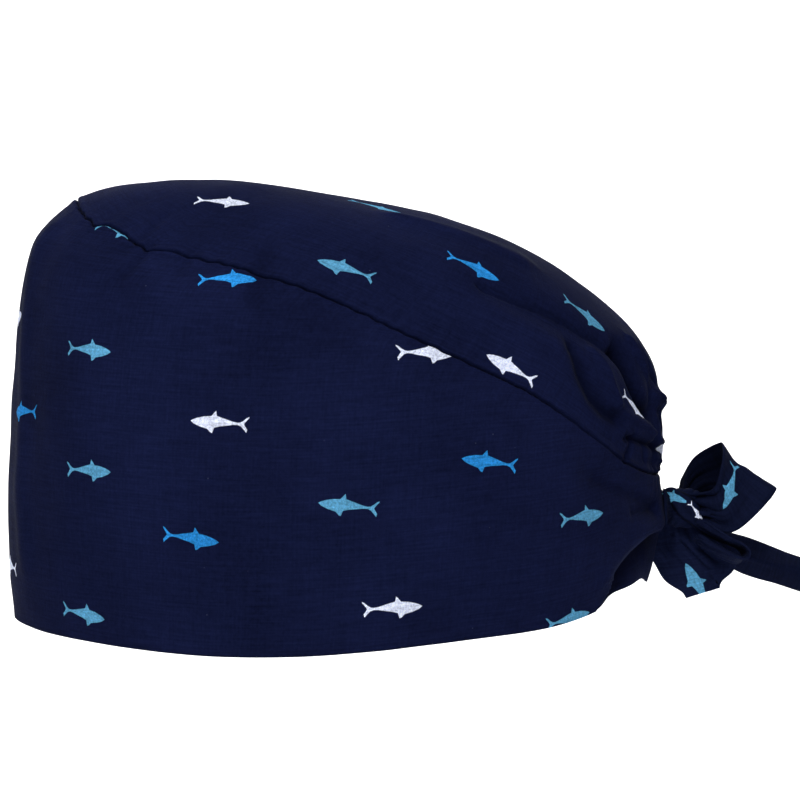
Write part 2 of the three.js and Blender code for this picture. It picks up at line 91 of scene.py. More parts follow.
# finer creases that only the cloth shows: a line of places by azimuth and level, how far in millimetres
# the crease reaches under and over the line, and its height, negative for a valley
seamFolds = [
    ([(77, 1.325), (69.5, 1.35), (62, 1.38), (55, 1.395), (45, 1.405), (36.5, 1.40)], 0.6, 2.0, -1.2),
    ([(102.5, 1.52), (89.5, 1.545), (78, 1.55), (67, 1.56)], 1.3, 5.0, 0.9),
    ([(53, 1.30), (49, 1.21), (44.5, 1.14), (40.5, 1.12), (37, 1.13)], 3.4, 2.8, -2.8),
    ([(47, 1.35), (44, 1.30), (41, 1.24), (37.5, 1.19)], 2.0, 2.0, 2.0),
    ([(36, 1.41), (34.5, 1.385), (32, 1.335), (29, 1.29), (25.5, 1.26), (21, 1.25)], 2.8, 3.8, -6.0),
    ([(29, 1.49), (26, 1.455), (22, 1.41), (17, 1.37), (13, 1.33)], 1.5, 2.4, 2.2),
    ([(39, 1.145), (31.5, 1.16), (24.5, 1.175), (19.5, 1.165)], 1.0, 2.4, 1.7),
    ([(32, 1.075), (30.5, 1.085), (25.5, 1.10), (19, 1.115), (13, 1.12)], 1.5, 0.9, -2.8),
    ([(29, 1.095), (29.5, 1.03), (30.5, 0.905)], 1.6, 0.9, -1.3),
    ([(24, 1.08), (22, 1.02)], 1.0, 1.0, -1.0), ([(18, 1.09), (16, 1.02)], 1.0, 1.0, -1.0),
    ([(27, 1.50), (20, 1.41), (13, 1.33), (10, 1.24)], 0.9, 1.4, -1.8),
    ([(19, 1.50), (13, 1.42), (8, 1.35), (5, 1.22)], 0.9, 1.4, -1.8),
    ([(16, 1.345), (9, 1.35), (3.5, 1.345)], 2.4, 3.0, 2.9), ([(12, 1.16), (3.5, 1.165)], 1.2, 1.4, 1.3),
    ([(14, 1.11), (3.5, 1.12)], 0.9, 0.9, -1.8), ([(12, 1.06), (3.5, 1.06)], 1.2, 1.2, 0.9),
    ([(134, 0.99), (132.5, 0.94), (132, 0.885), (132.5, 0.83)], 2.2, 1.6, -0.9),
    ([(113.5, 1.07), (109, 0.98), (105.5, 0.86)], 3.0, 4.5, -1.0),
    ([(126, 1.02), (123, 0.93)], 2.0, 2.0, -0.6), ([(140, 1.10), (138, 1.02), (137, 0.95)], 2.4, 1.6, -0.6),
    ([(40, 0.57), (26, 0.56), (14, 0.53)], 2.6, 1.6, -1.0), ([(27, 0.40), (14, 0.47)], 2.2, 2.0, -1.2),
    ([(29.5, 0.08), (25, 0.15), (19, 0.22), (12, 0.26)], 11.0, 0.9, -4.0),
    ([(34, 0.10), (27, 0.22), (18, 0.30), (9, 0.35)], 2.0, 5.0, 1.2),
]
farSideFolds = {"turn": 3.0, "rise": 0.02, "depth": 0.85}

# how far the seam dips under its ring on both sides, by azimuth from the back, in levels
seamDips = [(0, 0.00), (11, 0.03), (17, 0.07), (24, 0.095), (31, 0.11), (37, 0.06), (47, 0.025), (57, 0.0),
            (73, 0.02), (83, 0.03), (100, 0.02), (116, 0.0), (129, 0.0), (134, 0.025), (143, 0.01),
            (147, 0.01), (150, 0.03), (160, 0.02), (172, 0.0), (180, 0.0)]


def unit(v):
    return v / np.maximum(np.linalg.norm(v, axis=-1, keepdims=True), 1e-12)


def valuesOf(items, key, width=1, kind=float):
    values = np.zeros(len(items) * width, kind)
    items.foreach_get(key, values)
    return values.reshape(-1, width) if width > 1 else values


def layUv(mesh, name, values):
    corners = valuesOf(mesh.loops, "vertex_index", 1, int)
    pairs = np.broadcast_to(values.reshape(len(values), -1), (len(values), 2))
    mesh.uv_layers.new(name=name).data.foreach_set("uv", pairs[corners].ravel())


def linked(name, data):
    thing = bpy.data.objects.new(name, data)
    bpy.context.collection.objects.link(thing)
    return thing


def follow(table, column, at):
    keys, values = table[:, 0], table[:, column]
    row = np.arange(len(keys))
    before, after = np.maximum(row - 1, 0), np.minimum(row + 1, len(keys) - 1)
    slopes = (values[after] - values[before]) / (keys[after] - keys[before])
    i = np.clip(np.searchsorted(keys, at, side="left") - 1, 0, len(keys) - 2)
    span = keys[i + 1] - keys[i]
    t = (at - keys[i]) / span
    share = 2 * t ** 3 - 3 * t ** 2 + 1
    return (share * values[i] + (1 - share) * values[i + 1]
            + (t ** 3 - 2 * t ** 2 + t) * span * slopes[i] + (t ** 3 - t ** 2) * span * slopes[i + 1])


def bump(distance):
    return np.exp(-distance ** 2)


def smoothCap(azimuth, level):
    front, frontRise, side, sideRise, back, backRise = (follow(rings, k, level) for k in range(1, 7))
    turn = np.radians(azimuth)
    rise = ((frontRise + backRise + 2 * sideRise) / 4 + (backRise - frontRise) / 2 * np.cos(turn)
            + (frontRise + backRise - 2 * sideRise) / 4 * np.cos(2 * turn))
    fromBack = np.abs((azimuth + 180) % 360 - 180)
    for sagAzimuth, sagLevel, drop, azimuthSpread, levelSpread in sags:
        drop = drop * bump((fromBack - sagAzimuth) / azimuthSpread)
        rise = rise - drop * bump((level - sagLevel) / levelSpread)
    half, wide = capSize["halfLength"], capSize["halfWidth"]
    return np.stack([((back - front) / 2 + (back + front) / 2 * np.cos(turn)) * half,
                     -side * np.sin(turn) * wide, rise * capSize["height"]], -1)


# how far to each side, in degrees and levels, the cap's slope is measured
probe = {"turn": 1.0, "step": 0.02, "highest": 1.97}


def outOfCap(azimuth, level):
    around = smoothCap(azimuth + probe["turn"], level) - smoothCap(azimuth - probe["turn"], level)
    higher = smoothCap(azimuth, np.minimum(level + probe["step"], probe["highest"]))
    lower = smoothCap(azimuth, np.maximum(level - probe["step"], 0.0))
    return unit(np.cross(higher - lower, around))


def seamLevel(azimuth, level):
    table = np.array(seamDips, float)
    fromBack = np.abs((azimuth + 180) % 360 - 180)
    return level - np.interp(fromBack, table[:, 0], table[:, 1]) * bump((level - 1) / 0.24)


def lineBetween(start, end, count=8):
    steps = np.linspace(0, 1, count)
    return smoothCap(start[0] + (end[0] - start[0]) * steps, start[1] + (end[1] - start[1]) * steps)


# how far a line presses a surface in or out; under and over are its reaches on its two sides
def pressedBy(line, places, outwards, under, over, height):
    nearest = np.full(places.shape[:-1], 1.0)
    side = np.zeros(places.shape[:-1])
    for start, end in zip(line[:-1], line[1:]):
        along = end - start
        offset = places - start
        t = np.clip((offset @ along) / max(along @ along, 1e-12), 0, 1)
        away = offset - t[..., None] * along
        distance = np.linalg.norm(away, axis=-1)
        closer = distance < nearest
        nearest = np.where(closer, distance, nearest)
        side = np.where(closer, (np.cross(along, away) * outwards).sum(-1), side)
    reach = np.where(side > 0, over, under)
    return height * bump(nearest / reach)


def softNoise(places, size, seed):
    flat = places.reshape(-1, 3) / size + seed
    values = np.array([noise.noise(Vector(place)) for place in flat])
    return values.reshape(places.shape[:-1])


clothDetail = {
    "gathers": 0.0015, "gatherTurns": 72, "gatherMiddle": -6, "gatherSpread": 22, "gatherRise": 0.13,
    "grooveDepth": 0.0011, "grooveWidth": 0.00055, "seamRoll": 0.00035, "seamRollWidth": 0.0014,
    "pucker": 0.00011, "puckerTurns": 118, "puckerWidth": 0.005, "seamWander": 0.0016,
    "dents": 0.0016, "dentSize": 0.050, "rumple": 0.00042, "rumpleSize": 0.014,
    # painted shade: how dark deep creases and the seam groove are painted, and the darkest it may be
    "foldPaintedShade": 0.19, "seamPaintedShade": 0.35, "darkestPaintedShade": 0.8,
}


# the cloth of one panel: a grid of places with their directions outwards, and painted shade for its deep
# creases and its seam groove
def capCloth(azimuth, level, wrapped=False):
    d = clothDetail
    turn = np.radians(azimuth)
    signed = (azimuth + 180) % 360 - 180
    wave = np.sin(97 * turn + 2 * np.sin(13 * turn)) + 0.7 * np.sin(61 * turn + 1.3)
    dipped = seamLevel(azimuth, level) + d["seamWander"] * wave * bump((level - 1) / 0.04)
    places = smoothCap(azimuth, dipped)
    outwards = gridDirections(places, wrapped)
    height, paintedShading = np.zeros(places.shape[:-1]), np.zeros(places.shape[:-1])
    for fold in broadFolds:
        depth, spread = fold[5] * capSize["halfLength"], fold[4] * capSize["halfWidth"]
        height += pressedBy(lineBetween(fold[:2], fold[2:4]), places, outwards, spread, spread, depth)
    for points, under, over, depth in seamFolds:
        for side in (1, -1):
            line = np.array(points, float)
            if side < 0:
                line = line * (-1, 1) + (farSideFolds["turn"], farSideFolds["rise"])
                under, over, depth = over, under, depth * farSideFolds["depth"]
            line = np.concatenate([lineBetween(a, b, 4) for a, b in zip(line[:-1], line[1:])])
            pressed = pressedBy(line, places, outwards, under * 0.001, over * 0.001, depth)
            height += pressed * 0.001
            # deep creases get painted shade, darker the deeper the crease presses in
            paintedShading = np.maximum(paintedShading, -pressed * d["foldPaintedShade"])
    wander = softNoise(places, 0.02, 7.3)
    # small gathers run up from the seam at the back
    above = np.clip(level - 1, 0, 1)
    pinch = 1 - 2 * np.abs(np.sin(d["gatherTurns"] / 2 * turn + 3 * wander)) ** 0.7
    height -= (d["gathers"] * pinch * bump((signed - d["gatherMiddle"]) / d["gatherSpread"])
               * np.exp(-above / d["gatherRise"]) * (level >= 1))
    # the seam lies in a narrow groove between two rolled edges, with the cloth puckered beside it
    seamLine = smoothCap(azimuth, seamLevel(azimuth, np.ones_like(level)) + d["seamWander"] * wave)
    fromSeam = np.linalg.norm(places - seamLine, axis=-1)
    height -= d["grooveDepth"] * bump(fromSeam / d["grooveWidth"])
    height += d["seamRoll"] * bump((fromSeam - 2 * d["grooveWidth"]) / d["seamRollWidth"])
    height += (d["pucker"] * np.sin(d["puckerTurns"] * turn + 7 * wander) * (1.2 + np.cos(3 * turn + 1))
               * bump((fromSeam - 0.003) / d["puckerWidth"]))
    height += (d["dents"] * softNoise(places, d["dentSize"], 1.7)
               + d["rumple"] * softNoise(places, d["rumpleSize"], 4.1))
    places = places + outwards * height[..., None]
    # painted shade along the seam groove, added to the creases' painted shade and capped
    paintedShading = np.clip(paintedShading + d["seamPaintedShade"] * bump(fromSeam / d["grooveWidth"]), 0, d["darkestPaintedShade"])
    return places, gridDirections(places, wrapped), paintedShading


def gridDirections(places, wrapped):
    if wrapped:
        around = np.roll(places, -1, axis=1) - np.roll(places, 1, axis=1)
    else:
        around = np.gradient(places, axis=1)
    return unit(np.cross(np.gradient(places, axis=0), around))


# the print: a simple fish outline, drawn for this cap, with its colours and places charted
printTints = {"white": (0.74, 0.79, 0.96), "aqua": (0.100, 0.335, 0.55), "blue": (0.023, 0.25, 0.66)}
printSize = 0.0196

# tint, millimetres right and up as the camera sees them, heading in degrees, piece, length as a share
printChart = [
    ("white", -40.2, 142.8, -5, "crown", 1.0), ("aqua", -75.9, 133.0, -20, "band", 1.0),
    ("blue", -38.8, 116.2, -2, "band", 1.0), ("aqua", 3.1, 120.0, 162, "crown", 1.0),
    ("blue", 47.6, 120.4, -27, "crown", 1.0), ("aqua", 86.8, 103.6, -39, "crown", 1.0),
    ("aqua", 13.6, 141.4, -16, "crown", 1.0), ("aqua", -87.1, 92.0, -6, "band", 1.0),
    ("white", 30.8, 90.3, -5, "band", 1.0), ("white", 61.2, 84.3, 151, "crown", 1.0),
    ("white", 103.8, 71.4, -50, "crown", 0.72), ("blue", -110.2, 69.6, 180, "band", 1.0),
    ("white", -40.6, 65.8, 176, "band", 1.0), ("blue", 53.5, 51.4, 172, "band", 1.0),
    ("aqua", -86.8, 49.3, -3, "band", 1.0), ("aqua", 4.2, 37.4, 174, "band", 1.0),
    ("aqua", 86.1, 32.2, 8, "band", 1.0), ("blue", -51.4, 25.5, -8, "band", 1.0),
    ("aqua", -88.5, -1.0, -11, "band", 1.0), ("white", 19.9, 0.3, 3, "band", 1.0),
    ("aqua", 81.5, -3.5, 13, "band", 1.0), ("white", -113.0, 102.2, 10, "band", 1.0),
    ("white", -114.1, 15.4, 170, "band", 1.0), ("white", 114.1, 55.3, 80, "crown", 1.0),
    ("aqua", 137.9, 43.4, -109, "loop_upper", 0.90), ("aqua", 126.7, 7.7, 118, "tail_short", 1.0),
    ("aqua", 116.2, 40.4, -12, "knot", 0.62), ("blue", 115.8, 33.9, -60, "knot", 0.22),
    ("white", 126.0, 34.3, -55, "knot", 0.42),
]
farShift = {"right": 12.0, "up": -8.0, "tints": {"white": "aqua", "aqua": "blue", "blue": "white"}}

# the same from above, from the front and from behind
printAbove = [
    ("aqua", -62, 3, 8, "crown", 1.0), ("white", -24, -8, 176, "crown", 1.0),
    ("blue", 8, 12, -12, "crown", 1.0), ("white", 44, 4, 10, "crown", 1.0),
    ("aqua", 76, 10, 171, "crown", 1.0),
]
printFront = [
    ("aqua", 6, 16, 5, "band", 1.0), ("white", -4, 52, 178, "band", 1.0), ("aqua", 9, 84, -7, "band", 1.0),
    ("blue", -2, 118, 175, "band", 1.0),
]
printBehind = [
    ("blue", -14, 86, -30, "crown", 1.0), ("aqua", 16, 72, 40, "crown", 1.0),
    ("white", 2, 108, 168, "crown", 1.0), ("aqua", -26, 118, 12, "crown", 1.0),
]
views = {  # right, up and towards the viewer
    "side": ((1, 0, 0), (0, 0, 1), (0, -1, 0)), "far": ((1, 0, 0), (0, 0, 1), (0, 1, 0)),
    "above": ((1, 0, 0), (0, 1, 0), (0, 0, 1)), "front": ((0, -1, 0), (0, 0, 1), (-1, 0, 0)),
    "behind": ((0, 1, 0), (0, 0, 1), (1, 0, 0)),
}
farChart = [(farShift["tints"][tint], right + farShift["right"], up + farShift["up"], heading, piece, size)
            for tint, right, up, heading, piece, size in printChart if piece in ("band", "crown")]
printCharts = {"side": printChart, "far": farChart, "above": printAbove, "front": printFront,
               "behind": printBehind}

# where a motif may land: how far the cloth may turn away, how much nearer cloth is preferred, how far off
# its charted place it may lie, and the shares of its length that its direction and its faces reach
printRules = {"facing": -0.02, "nearer": 0.05, "strayed": 0.009, "around": 0.4, "leastFacing": 0.25,
              "steepest": 2.0, "faces": 0.62, "tintStep": 10, "nowhere": 5.0}


def seenFrom(view, places):
    rightWay, upWay, towards = (np.array(way, float) for way in views[view])
    right, up = places @ rightWay, places @ upWay
    if view in ("side", "far"):
        share = 1 - (places @ towards) / photoView["distance"]
        right = photoView["lookX"] + (right - photoView["lookX"]) / share
        up = photoView["lookZ"] + (up - photoView["lookZ"]) / share
    return right, up


def motifsOn(name, places, normals):
    found, rules = [], printRules
    cameraPlace = np.array((photoView["lookX"], -photoView["distance"], photoView["lookZ"]))
    flatPlaces, flatNormals = places.reshape(-1, 3), normals.reshape(-1, 3)
    for view, chart in printCharts.items():
        rightWay, upWay, towards = (np.array(way, float) for way in views[view])
        facing = flatNormals @ towards > rules["facing"]
        right, up = seenFrom(view, flatPlaces)
        for tint, atRight, atUp, heading, piece, size in chart:
            if piece != name:
                continue
            away = np.hypot(right - atRight * 0.001, up - atUp * 0.001) + np.where(facing, 0, 10)
            at = int(np.argmin(away - rules["nearer"] * (flatPlaces @ towards)))
            if away[at] > rules["strayed"]:
                continue
            near = np.linalg.norm(flatPlaces - flatPlaces[at], axis=1) < rules["around"] * printSize * size
            normal = flatNormals[near].mean(axis=0)
            normal /= np.linalg.norm(normal)
            if view in ("above", "front", "behind") and normal @ (cameraPlace - flatPlaces[at]) > 0:
                continue
            turn = math.radians(heading)
            look = math.cos(turn) * rightWay + math.sin(turn) * upWay
            lean = -(normal @ look) / max(normal @ towards, rules["leastFacing"])
            along = look + towards * float(np.clip(lean, -rules["steepest"], rules["steepest"]))
            along -= normal * (along @ normal)
            along /= np.linalg.norm(along)
            over = np.cross(normal, along)
            if over @ upWay < 0:
                over = -over
            found.append((list(printTints).index(tint), flatPlaces[at], along, over, printSize * size))
    return found


def printOnto(mesh, name, outerCount, places, normals):
    centres, points = valuesOf(mesh.polygons, "center", 3), valuesOf(mesh.vertices, "co", 3)
    cornerVertex = valuesOf(mesh.loops, "vertex_index", 1, int)
    cornerFace = np.repeat(np.arange(len(centres)), valuesOf(mesh.polygons, "loop_total", 1, int))
    firstCorner = valuesOf(mesh.polygons, "loop_start", 1, int)
    outerFace = np.minimum.reduceat(cornerVertex < outerCount, firstCorner)
    corners = np.full((len(cornerVertex), 2), printRules["nowhere"])
    nearest = np.full(len(centres), 1.0)
    for tint, place, along, up, size in motifsOn(name, places, normals):
        away = np.linalg.norm(centres - place, axis=1) + np.where(outerFace, 0, 1)
        mine = (away < nearest) & (away < size * printRules["faces"])
        nearest[mine] = away[mine]
        chosen = mine[cornerFace]
        offset = points[cornerVertex[chosen]] - place
        corners[chosen] = np.stack([offset @ along / size + printRules["tintStep"] * tint,
                                    offset @ up / size], -1)
    mesh.uv_layers.new(name="print").data.foreach_set("uv", corners.ravel())


# a closed wall: a fine grid outside, every second place of another one inside, joined round its rim
def gridMesh(name, outer, inner, clothUv, wrapped, tips=(), paintedShading=0.0, paintedShadingInside=0.0):
    inner, innerUv = inner[::2, ::2], clothUv[::2, ::2]
    outerCount = outer.shape[0] * outer.shape[1]
    ends = np.array(tips, float).reshape(-1, 3)
    verts = np.concatenate([outer.reshape(-1, 3), inner.reshape(-1, 3), ends])
    out = np.arange(outerCount).reshape(outer.shape[:2])
    back = np.arange(inner.shape[0] * inner.shape[1]).reshape(inner.shape[:2]) + outerCount
    if wrapped:
        out, back = (np.concatenate([grid, grid[:, :1]], axis=1) for grid in (out, back))
    quads = np.concatenate([
        np.stack([out[:-1, :-1], out[:-1, 1:], out[1:, 1:], out[1:, :-1]], -1).reshape(-1, 4),
        np.stack([back[:-1, 1:], back[:-1, :-1], back[1:, :-1], back[1:, 1:]], -1).reshape(-1, 4)])
    faces = [tuple(q) for q in quads.tolist()]

    def rim(outerLine, innerLine):
        for k in range(len(innerLine) - 1):
            a, b, c = outerLine[2 * k:2 * k + 3]
            faces.append(tuple(int(i) for i in (innerLine[k], innerLine[k + 1], c, b, a)))

    rim(out[0], back[0])
    if not len(ends):
        rim(out[-1][::-1], back[-1][::-1])
    else:
        tip = len(verts) - 2
        faces.extend((int(a), int(b), tip) for a, b in zip(out[-1, :-1], out[-1, 1:]))
        faces.extend((int(b), int(a), tip + 1) for a, b in zip(back[-1, :-1], back[-1, 1:]))
    if not wrapped:
        rim(out[::-1, 0], back[::-1, 0])
        rim(out[:, -1], back[:, -1])
    mesh = bpy.data.meshes.new(name)
    mesh.from_pydata(verts.tolist(), [], faces)
    mesh.validate()
    layUv(mesh, "cloth",
          np.concatenate([clothUv.reshape(-1, 2), innerUv.reshape(-1, 2), np.zeros((len(ends), 2))]))
    # painted shade per place, outside and inside, goes into a UV map that darkens the cotton
    shade = np.full(len(verts), paintedShadingInside)
    shade[:outerCount] = np.broadcast_to(paintedShading, outer.shape[:2]).ravel()
    layUv(mesh, "folds", shade)
    return mesh


def finishPiece(name, mesh, node, material):
    mesh.calc_loop_triangles()
    corners = valuesOf(mesh.loop_triangles, "vertices", 3, int)
    a, b, c = np.moveaxis(valuesOf(mesh.vertices, "co", 3)[corners], 1, 0)
    if (a * np.cross(b, c)).sum() < 0:
        mesh.flip_normals()
    mesh.polygons.foreach_set("use_smooth", [True] * len(mesh.polygons))
    mesh.materials.append(material)
    piece = linked(name, mesh)
    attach(piece, "root")
    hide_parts(node)
    return piece


# shader groups that the cottons share
def socketsOf(group, inputs, outputs):
    for name, kind, value in inputs:
        socket = group.interface.new_socket(name, in_out="INPUT", socket_type=kind)
        socket.default_value = value
    for name, kind in outputs:
        group.interface.new_socket(name, in_out="OUTPUT", socket_type=kind)
    return group.nodes.new("NodeGroupInput"), group.nodes.new("NodeGroupOutput")


def mathNode(tree, operation, *values):
    node = tree.nodes.new("ShaderNodeMath")
    node.operation = operation
    for k, value in enumerate(values):
        if isinstance(value, (int, float)):
            node.inputs[k].default_value = value
        else:
            tree.links.new(value, node.inputs[k])
    return node.outputs[0]


def times(tree, first, second):
    return mathNode(tree, "MULTIPLY", first, second)


def plus(tree, first, second):
    return mathNode(tree, "ADD", first, second)


def minus(tree, first, second):
    return mathNode(tree, "SUBTRACT", first, second)


def mixColours(tree, factor, first, second, blend="MIX"):
    node = tree.nodes.new("ShaderNodeMix")
    node.data_type, node.blend_type = "RGBA", blend
    for socket, value in ((node.inputs[0], factor), (node.inputs[6], first), (node.inputs[7], second)):
        if isinstance(value, (int, float, tuple)):
            socket.default_value = value
        else:
            tree.links.new(value, socket)
    return node.outputs[2]


def ramp(tree, value, low, high, toLow=0.0, toHigh=1.0):
    node = tree.nodes.new("ShaderNodeMapRange")
    tree.links.new(value, node.inputs["Value"])
    for name, number in (("From Min", low), ("From Max", high), ("To Min", toLow), ("To Max", toHigh)):
        node.inputs[name].default_value = number
    return node.outputs[0]


def noiseNode(tree, vector, scale, detail, rough=0.5):
    node = tree.nodes.new("ShaderNodeTexNoise")
    tree.links.new(vector, node.inputs["Vector"])
    node.inputs["Scale"].default_value = scale
    node.inputs["Detail"].default_value = detail
    node.inputs["Roughness"].default_value = rough
    return node.outputs["Fac"]


def greyOf(tree, value):
    node = tree.nodes.new("ShaderNodeCombineXYZ")
    for socket in node.inputs:
        tree.links.new(value, socket)
    return node.outputs[0]


def uvMap(tree, name):
    node, split = tree.nodes.new("ShaderNodeUVMap"), tree.nodes.new("ShaderNodeSeparateXYZ")
    node.uv_map = name
    tree.links.new(node.outputs[0], split.inputs[0])
    return node.outputs[0], split.outputs


def objectSpace(tree):
    return tree.nodes.new("ShaderNodeTexCoord").outputs["Object"]


# threads a metre, the long streaks of uneven threads, and how much the threads' height adds to the tone
weaveLook = {"threads": 2900.0, "streakScale": 1400.0, "stretch": 0.05, "across": 0.65, "along": 0.35,
             "heightShare": 0.3}


def makeWeaveGroup():
    group = bpy.data.node_groups.new("plainWeave", "ShaderNodeTree")
    enter, leave = socketsOf(group, [("Threads", "NodeSocketFloat", weaveLook["threads"])],
                             [("Height", "NodeSocketFloat"), ("Tone", "NodeSocketFloat")])
    uv, parts = uvMap(group, "cloth")
    waves = []
    for axis in (0, 1):
        turned = times(group, parts[axis], enter.outputs["Threads"])
        waves.append(mathNode(group, "SINE", times(group, turned, 2 * math.pi)))
    product = times(group, waves[0], waves[1])
    rows = plus(group, mathNode(group, "ABSOLUTE", waves[0]), mathNode(group, "ABSOLUTE", waves[1]))
    height = plus(group, times(group, product, 0.5), times(group, rows, 0.25))
    group.links.new(height, leave.inputs["Height"])
    # uneven threads show as long faint streaks both ways
    streaks = []
    for stretch, share in (((weaveLook["stretch"], 1.0, 1.0), weaveLook["across"]),
                           ((1.0, weaveLook["stretch"], 1.0), weaveLook["along"])):
        longer = group.nodes.new("ShaderNodeVectorMath")
        longer.operation = "MULTIPLY"
        group.links.new(uv, longer.inputs[0])
        longer.inputs[1].default_value = stretch
        streak = noiseNode(group, longer.outputs[0], weaveLook["streakScale"], 3.0)
        streaks.append(times(group, streak, share))
    slub = plus(group, *streaks)
    group.links.new(plus(group, times(group, height, weaveLook["heightShare"]), slub), leave.inputs["Tone"])
    return group


# specks of lint: cells a metre, the speck's edge in its cell, and how few cells have one; then the scales
# of the uneven dye, broad and fine, with their shares, and of the crumpled surface
mottleLook = {"lintCells": 150.0, "speck": (0.045, 0.025), "rare": (0.62, 0.70), "broad": 24.0,
              "broadShare": 0.6, "fine": 900.0, "fineShare": 0.4, "crumple": 170.0}


def makeMottleGroup():
    group = bpy.data.node_groups.new("dyeMottle", "ShaderNodeTree")
    enter, leave = socketsOf(group, [("Amount", "NodeSocketFloat", 0.12)],
                             [("Factor", "NodeSocketFloat"), ("Crumple", "NodeSocketFloat"),
                              ("Lint", "NodeSocketFloat")])
    spot = objectSpace(group)
    cells = group.nodes.new("ShaderNodeTexVoronoi")
    cells.inputs["Scale"].default_value = mottleLook["lintCells"]
    group.links.new(spot, cells.inputs["Vector"])
    chance = group.nodes.new("ShaderNodeSeparateColor")
    group.links.new(cells.outputs["Color"], chance.inputs[0])
    speck = times(group, ramp(group, cells.outputs["Distance"], *mottleLook["speck"]),
                  ramp(group, chance.outputs[0], *mottleLook["rare"]))
    group.links.new(speck, leave.inputs["Lint"])
    broad = noiseNode(group, spot, mottleLook["broad"], 3.0)
    fine = noiseNode(group, spot, mottleLook["fine"], 2.0)
    both = plus(group, times(group, broad, mottleLook["broadShare"]),
                times(group, fine, mottleLook["fineShare"]))
    centred = minus(group, both, 0.5)
    amount = times(group, times(group, centred, enter.outputs["Amount"]), 2.0)
    group.links.new(plus(group, amount, 1.0), leave.inputs["Factor"])
    group.links.new(noiseNode(group, spot, mottleLook["crumple"], 5.0, 0.6), leave.inputs["Crumple"])
    return group


# the fish outline from tail to nose: its back, its belly and the notch in its tail, as shares of its length
fishOutline = {
    "back": [(0.00, 0.126), (0.04, 0.106), (0.09, 0.058), (0.14, 0.026), (0.19, 0.018), (0.27, 0.030),
             (0.38, 0.061), (0.49, 0.090), (0.548, 0.106), (0.566, 0.190), (0.59, 0.168), (0.645, 0.098),
             (0.775, 0.084), (0.89, 0.054), (0.96, 0.026), (1.00, 0.000)],
    "belly": [(0.00, 0.00), (0.03, 0.138), (0.08, 0.086), (0.13, 0.038), (0.19, 0.018), (0.27, 0.022),
              (0.32, 0.034), (0.41, 0.050), (0.49, 0.064), (0.585, 0.092), (0.612, 0.182), (0.645, 0.172),
              (0.70, 0.118), (0.83, 0.088), (0.944, 0.046), (1.00, 0.004)],
    "notch": [(0.00, 0.104), (0.03, 0.070), (0.06, 0.030), (0.078, 0.0), (1.00, 0.0)],
    "scale": 4.0, "edge": (-0.004, 0.006), "notchEnd": (0.074, 0.084), "grain": 1500.0,
}


def makePrintGroup():
    group = bpy.data.node_groups.new("fishPrint", "ShaderNodeTree")
    enter, leave = socketsOf(group, [("Speckle", "NodeSocketFloat", 0.26)],
                             [("Mask", "NodeSocketFloat"), ("Colour", "NodeSocketColor")])
    right, up = uvMap(group, "print")[1][:2]
    tint = mathNode(group, "FLOOR", plus(group, mathNode(group, "DIVIDE", right, 10.0), 0.5))
    along = minus(group, right, times(group, tint, 10.0))
    along = plus(group, along, 0.5)

    def curve(points):
        node = group.nodes.new("ShaderNodeFloatCurve")
        group.links.new(along, node.inputs["Value"])
        line = node.mapping.curves[0]
        line.points[0].location = (points[0][0], points[0][1] * fishOutline["scale"])
        line.points[1].location = (points[-1][0], points[-1][1] * fishOutline["scale"])
        for x, y in points[1:-1]:
            line.points.new(x, y * fishOutline["scale"])
        for point in line.points:
            point.handle_type = "VECTOR"
        node.mapping.update()
        return mathNode(group, "DIVIDE", node.outputs[0], fishOutline["scale"])

    inBack = minus(group, curve(fishOutline["back"]), up)
    inBelly = plus(group, curve(fishOutline["belly"]), up)
    inTail = minus(group, mathNode(group, "ABSOLUTE", up), curve(fishOutline["notch"]))
    inTail = plus(group, inTail, ramp(group, along, *fishOutline["notchEnd"], 0.0, 0.1))
    ends = minus(group, 0.5, mathNode(group, "ABSOLUTE", minus(group, along, 0.5)))
    inside = mathNode(group, "MINIMUM", mathNode(group, "MINIMUM", inBack, inBelly),
                      mathNode(group, "MINIMUM", inTail, ends))
    group.links.new(ramp(group, inside, *fishOutline["edge"]), leave.inputs["Mask"])
    colours = [(*value, 1.0) for value in printTints.values()]
    firstTwo = mixColours(group, ramp(group, tint, 0.4, 0.6), colours[0], colours[1])
    plain = mixColours(group, ramp(group, tint, 1.4, 1.6), firstTwo, colours[2])
    specks = noiseNode(group, objectSpace(group), fishOutline["grain"], 3.0, 0.7)
    grain = ramp(group, specks, 0.35, 0.65, -1.0, 1.0)
    lift = plus(group, times(group, grain, enter.outputs["Speckle"]), 1.0)
    group.links.new(mixColours(group, 1.0, plain, greyOf(group, lift), "MULTIPLY"), leave.inputs["Colour"])
    return group


weaveGroup, mottleGroup, printGroup = makeWeaveGroup(), makeMottleGroup(), makePrintGroup()

cottons = {
    "capCotton": {"dye": (0.0058, 0.0086, 0.0360), "mottle": 0.80, "sheen": 0.014, "lint": 0.30},
    "tieCotton": {"dye": (0.0052, 0.0078, 0.0265), "mottle": 0.60, "sheen": 0.008, "lint": 0.12},
}
# inkInPaintedShade: how much of the print's brightness is left where the painted shade is darkest
cottonSurface = {
    "rough": (0.94, 0.83), "sheenRough": 0.35, "shine": 0.015, "weaveTone": (0.25, 1.75), "inkInPaintedShade": 0.75,
    "lintColour": (0.10, 0.11, 0.20, 1.0), "weaveDepth": 0.00006, "weaveBump": 0.55,
    "crumpleDepth": 0.0009, "crumpleBump": 0.30,
}


